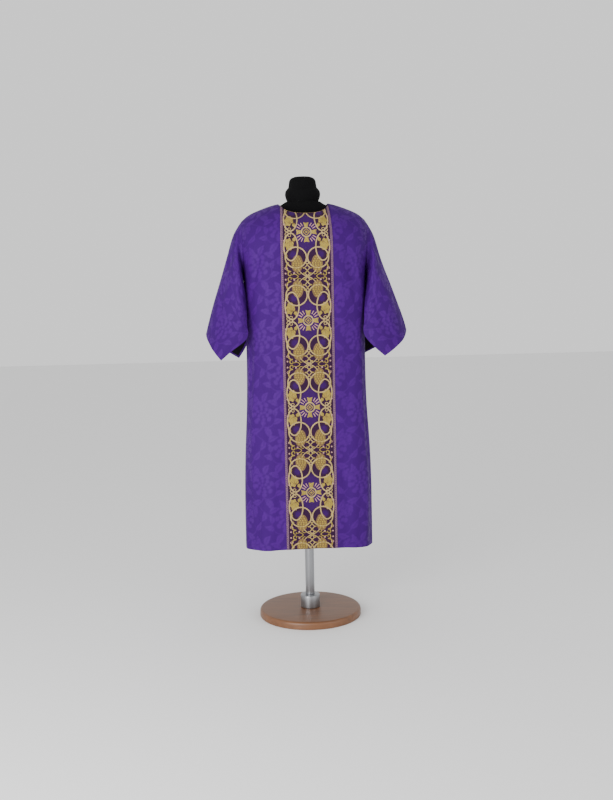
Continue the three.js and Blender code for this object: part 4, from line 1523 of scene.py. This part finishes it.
class DALMATIC_OT_sleeves(bpy.types.Operator):
    """Fold each sleeve over the shoulder, with its lining, and leave it open along its underside"""

    bl_idname = "dalmatic.sleeves"
    bl_label = "Sleeves"

    def execute(self, context):
        sizes, _, _ = settings(context)
        tile = figure_tile()
        pitch = sizes.pitch / MM
        for name, out in HANDS.items():
            along, across = np.meshgrid(
                np.concatenate([[SLEEVE_START], np.linspace(0.01, 1, round(SLEEVE_LENGTH / pitch))]),
                np.linspace(-1, 1, 2 * round(FLAP_WIDTH / pitch * ACROSS_DENSITY) + 1),
                indexing="ij",
            )
            place, level = across * FLAP_WIDTH, along * SLEEVE_LENGTH
            outer = on_sleeve(out, along, across, 0.0, sizes.creases)
            inner = on_sleeve(out, along, across, -sizes.cloth / MM, sizes.creases)
            values = {"figure": figure_at(tile, place + SLEEVE_FIGURE_SHIFT, SLEEVE_FIGURE_TOP - level)}
            uv = flat_cloth(place, level)
            obj = sheet_mesh(f"sleeve_{name}_cloth", outer, inner, uv, values, [damask(context)])
            finish_piece(obj, "damask", f"sleeve_{name}")
            along, across = np.meshgrid(
                np.linspace(LINING_START, LINING_END, 90),
                np.linspace(-LINING_EDGE, LINING_EDGE, 97),
                indexing="ij",
            )
            place, level = across * FLAP_WIDTH, along * SLEEVE_LENGTH
            off = -(sizes.cloth / MM) - GAP
            outer = on_sleeve(out, along, across, off, sizes.creases)
            inner = on_sleeve(out, along, across, off - sizes.lining / MM, sizes.creases)
            uv = flat_cloth(place, level)
            lining = sheet_mesh(f"sleeve_{name}_lining", outer, inner, uv, {}, [dark_lining(context)])
            finish_piece(lining, "lining", f"sleeve_lining_{name}")
        return {"FINISHED"}


HEM_LINE, STITCH_LIFT = 19, 0.2  # of the visible sewing, in mm: above the hem, and over the cloth
HEM_THREADS, HEM_POINTS = (0.39, 0.985), 90  # from beside the galloon to the side seam
CUFF_LINE, EDGE_LINE = 0.955, 0.93  # along and across a sleeve


class DALMATIC_OT_hem_stitching(bpy.types.Operator):
    """Run the visible sewing along the hem, the cuffs and the sleeves' free edges"""

    bl_idname = "dalmatic.hem_stitching"
    bl_label = "Hem Stitching"

    def execute(self, context):
        sizes, colors, _ = settings(context)
        thread = cloth_material("purple thread", colors.ground, 0.6, 4000.0, 4000.0)
        near, far = HEM_THREADS
        lines = []
        for side in FACES.values():
            for ends in ((-far, -near), (near, far)):
                place, level = panel_places(side, np.linspace(*ends, HEM_POINTS), [0.0])
                lines.append(on_panel(side, place[0], level[0] + HEM_LINE, STITCH_LIFT, sizes.creases))
        for out in HANDS.values():
            across = np.linspace(-0.97, 0.97, 150)
            cuff = np.full_like(across, CUFF_LINE)
            lines.append(on_sleeve(out, cuff, across, STITCH_LIFT, sizes.creases))
            for edge in (-EDGE_LINE, EDGE_LINE):
                along = np.linspace(0.1, 0.95, 110)
                lines.append(on_sleeve(out, along, np.full_like(along, edge), STITCH_LIFT, sizes.creases))
        obj = stitched("hem_and_cuff_stitches", lines, thread, sizes.stitch, sizes.stitch_gap, 11)
        finish_piece(obj, "damask")
        return {"FINISHED"}


TORSO_SIDES, NECK_SIDES, STAND_SIDES, BASE_SIDES = 96, 64, 96, 160


class DALMATIC_OT_form(bpy.types.Operator):
    """Build the limbless dress form: its torso and its neck block, covered with black jersey"""

    bl_idname = "dalmatic.form"
    bl_label = "Dress Form"

    def execute(self, context):
        _, colors, _ = settings(context)
        jersey = cloth_material("black jersey", colors.jersey, 0.9, 4200.0, 2400.0, 0.0)
        angle = np.linspace(0, 2 * math.pi, TORSO_SIDES, endpoint=False)
        cos, sin = np.cos(angle), np.sin(angle)
        columns = HALF_WIDTH, FRONT_REACH, BACK_REACH, SQUARE
        rings, uvs = [], []
        for z in (*range(TORSO_BOTTOM, SHOULDERS_Z, 10), *range(SHOULDERS_Z, TORSO_TOP, 4), TORSO_TOP):
            half, front, back, square = (float(through(TORSO_SECTIONS, 0, one, z)) for one in columns)
            reach = np.where(sin < 0, front, back)
            x = np.sign(cos) * half * np.abs(cos) ** (2 / square)
            y = np.sign(sin) * reach * np.abs(sin) ** (2 / square)
            rings.append(np.stack([x, y, np.full(TORSO_SIDES, float(z))], axis=1))
            uvs.append(np.stack([angle * 0.15, np.full(TORSO_SIDES, z * MM)], axis=1))
        torso = stacked_rings("form_torso_cover", rings, uvs, [[0, 0.72], [0, 1.45]], jersey, sharp=60)
        finish_piece(torso, "jersey", "form_torso")
        neck = lathe("form_neck_cover", smooth_profile(NECK_PROFILE, 4), NECK_SIDES, jersey, 0.055)
        finish_piece(neck, "jersey", "form_neck")
        return {"FINISHED"}


class DALMATIC_OT_stand(bpy.types.Operator):
    """Turn the stand: the plate under the torso, the pole, its socket and the round base"""

    bl_idname = "dalmatic.stand"
    bl_label = "Stand"

    def execute(self, context):
        _, colors, _ = settings(context)
        steel = steel_material("brushed steel", colors.steel)
        wood = wood_material("waxed wood", colors.wood_dark, colors.wood_light)
        plate_top = TORSO_BOTTOM - GAP
        plate_low = plate_top - PLATE_HEIGHT
        socket_low = BASE_HEIGHT + GAP
        socket_top = socket_low + SOCKET_HEIGHT
        for name, profile, solid in (
            ("torso_plate_turned", drum(PLATE_RADIUS, plate_low, plate_top, 1.5), "torso_plate"),
            ("pole_tube", drum(POLE_RADIUS, socket_top + GAP, plate_low - GAP, 0.8), "pole"),
            ("base_socket_turned", drum(SOCKET_RADIUS, socket_low, socket_top, 2.5), "base_socket"),
        ):
            finish_piece(lathe(name, profile, STAND_SIDES, steel, widest(profile)), "steel", solid)
        rounded = [
            (BASE_RADIUS - BASE_EDGE * (1 - math.cos(a)), BASE_HEIGHT - BASE_EDGE * (1 - math.sin(a)))
            for a in np.linspace(0, math.pi / 2, 9)
        ]
        foot = [(BASE_RADIUS - BASE_CHAMFER, 0), (BASE_RADIUS, BASE_CHAMFER)]
        base = [*foot, *rounded, (120, BASE_HEIGHT), (60, BASE_HEIGHT)]
        finish_piece(lathe("base_turned", base, BASE_SIDES, wood, widest(base)), "wood", "base")
        return {"FINISHED"}


FLOOR_Z = -0.0005
FLOOR_CORNERS = ((-9, -6), (9, -6), (9, 12), (-9, 12))
LIGHT_AIM = (0, 0, 0.7)
CAMERA_PLACE, CAMERA_AIM, CAMERA_ROLL = (-0.27461, -3.48921, 1.18), (0, 0, 0.77), 1.1
CAMERA_LENS, CAMERA_SENSOR = 45.306, 36.0


class DALMATIC_OT_stage(bpy.types.Operator):
    """Set the pale floor, the soft studio light and the camera"""

    bl_idname = "dalmatic.stage"
    bl_label = "Stage"

    def execute(self, context):
        _, _, light = settings(context)
        scene = context.scene
        material, _, shader = new_material("pale floor")
        shader.inputs["Base Color"].default_value = linear((0.93, 0.93, 0.93))
        shader.inputs["Roughness"].default_value = 0.8
        mesh = bpy.data.meshes.new("floor")
        mesh.from_pydata([(x, y, FLOOR_Z) for x, y in FLOOR_CORNERS], [], [(0, 1, 2, 3)])
        mesh.materials.append(material)
        floor = bpy.data.objects.new("floor", mesh)
        scene.collection.objects.link(floor)
        for name, place, size, power in (
            ("main light", (-1.7, -2.7, 0.95), (1.8, 2.2), light.key),
            ("side light", (2.2, -2.4, 0.8), (1.6, 2.0), light.fill),
        ):
            lamp = bpy.data.lights.new(name, "AREA")
            lamp.shape, lamp.size, lamp.size_y, lamp.energy = "RECTANGLE", *size, power
            obj = bpy.data.objects.new(name, lamp)
            obj.location = place
            obj.rotation_euler = (Vector(LIGHT_AIM) - Vector(place)).to_track_quat("-Z", "Y").to_euler()
            scene.collection.objects.link(obj)
        world = bpy.data.worlds.new("studio")
        world.use_nodes = True
        background = world.node_tree.nodes["Background"]
        background.inputs[0].default_value = (1, 1, 1, 1)
        background.inputs[1].default_value = light.world
        scene.world = world
        camera = bpy.data.cameras.new("camera")
        camera.lens, camera.sensor_width = CAMERA_LENS, CAMERA_SENSOR
        place, aim, roll = Vector(CAMERA_PLACE), Vector(CAMERA_AIM), math.radians(CAMERA_ROLL)
        ahead = (aim - place).normalized()
        right = ahead.cross(Vector((0, 0, 1))).normalized()
        up = right.cross(ahead)
        x = right * math.cos(roll) - up * math.sin(roll)
        y = up * math.cos(roll) + right * math.sin(roll)
        obj = bpy.data.objects.new("camera", camera)
        obj.matrix_world = Matrix.Translation(place) @ Matrix((x, y, -ahead)).transposed().to_4x4()
        scene.collection.objects.link(obj)
        scene.camera = obj
        return {"FINISHED"}


class DALMATIC_PT_panel(bpy.types.Panel):
    bl_idname = "DALMATIC_PT_panel"
    bl_label = "Dalmatic"
    bl_space_type = "VIEW_3D"
    bl_region_type = "UI"
    bl_category = "Dalmatic"

    def draw(self, context):
        layout = self.layout
        for group in settings(context):
            box = layout.box()
            for key in group.__annotations__:
                box.prop(group, key)
        for step in STEPS:
            layout.operator(step.bl_idname)


STEPS = (
    DALMATIC_OT_panels,
    DALMATIC_OT_orphreys,
    DALMATIC_OT_galloons,
    DALMATIC_OT_sleeves,
    DALMATIC_OT_hem_stitching,
    DALMATIC_OT_form,
    DALMATIC_OT_stand,
    DALMATIC_OT_stage,
)
GROUPS = (DALMATIC_PG_sizes, DALMATIC_PG_colors, DALMATIC_PG_light)
CLASSES = (*GROUPS, *STEPS, DALMATIC_PT_panel)


def register():
    for one in CLASSES:
        bpy.utils.register_class(one)
    bpy.types.Scene.dalmatic_sizes = bpy.props.PointerProperty(type=DALMATIC_PG_sizes)
    bpy.types.Scene.dalmatic_colors = bpy.props.PointerProperty(type=DALMATIC_PG_colors)
    bpy.types.Scene.dalmatic_light = bpy.props.PointerProperty(type=DALMATIC_PG_light)


def unregister():
    del bpy.types.Scene.dalmatic_sizes
    del bpy.types.Scene.dalmatic_colors
    del bpy.types.Scene.dalmatic_light
    for one in reversed(CLASSES):
        bpy.utils.unregister_class(one)


def main():
    """Build every piece and the stage."""
    register()
    bpy.ops.dalmatic.panels()
    bpy.ops.dalmatic.orphreys()
    bpy.ops.dalmatic.galloons()
    bpy.ops.dalmatic.sleeves()
    bpy.ops.dalmatic.hem_stitching()
    bpy.ops.dalmatic.form()
    bpy.ops.dalmatic.stand()
    bpy.ops.dalmatic.stage()


if __name__ == "__main__":
    main()
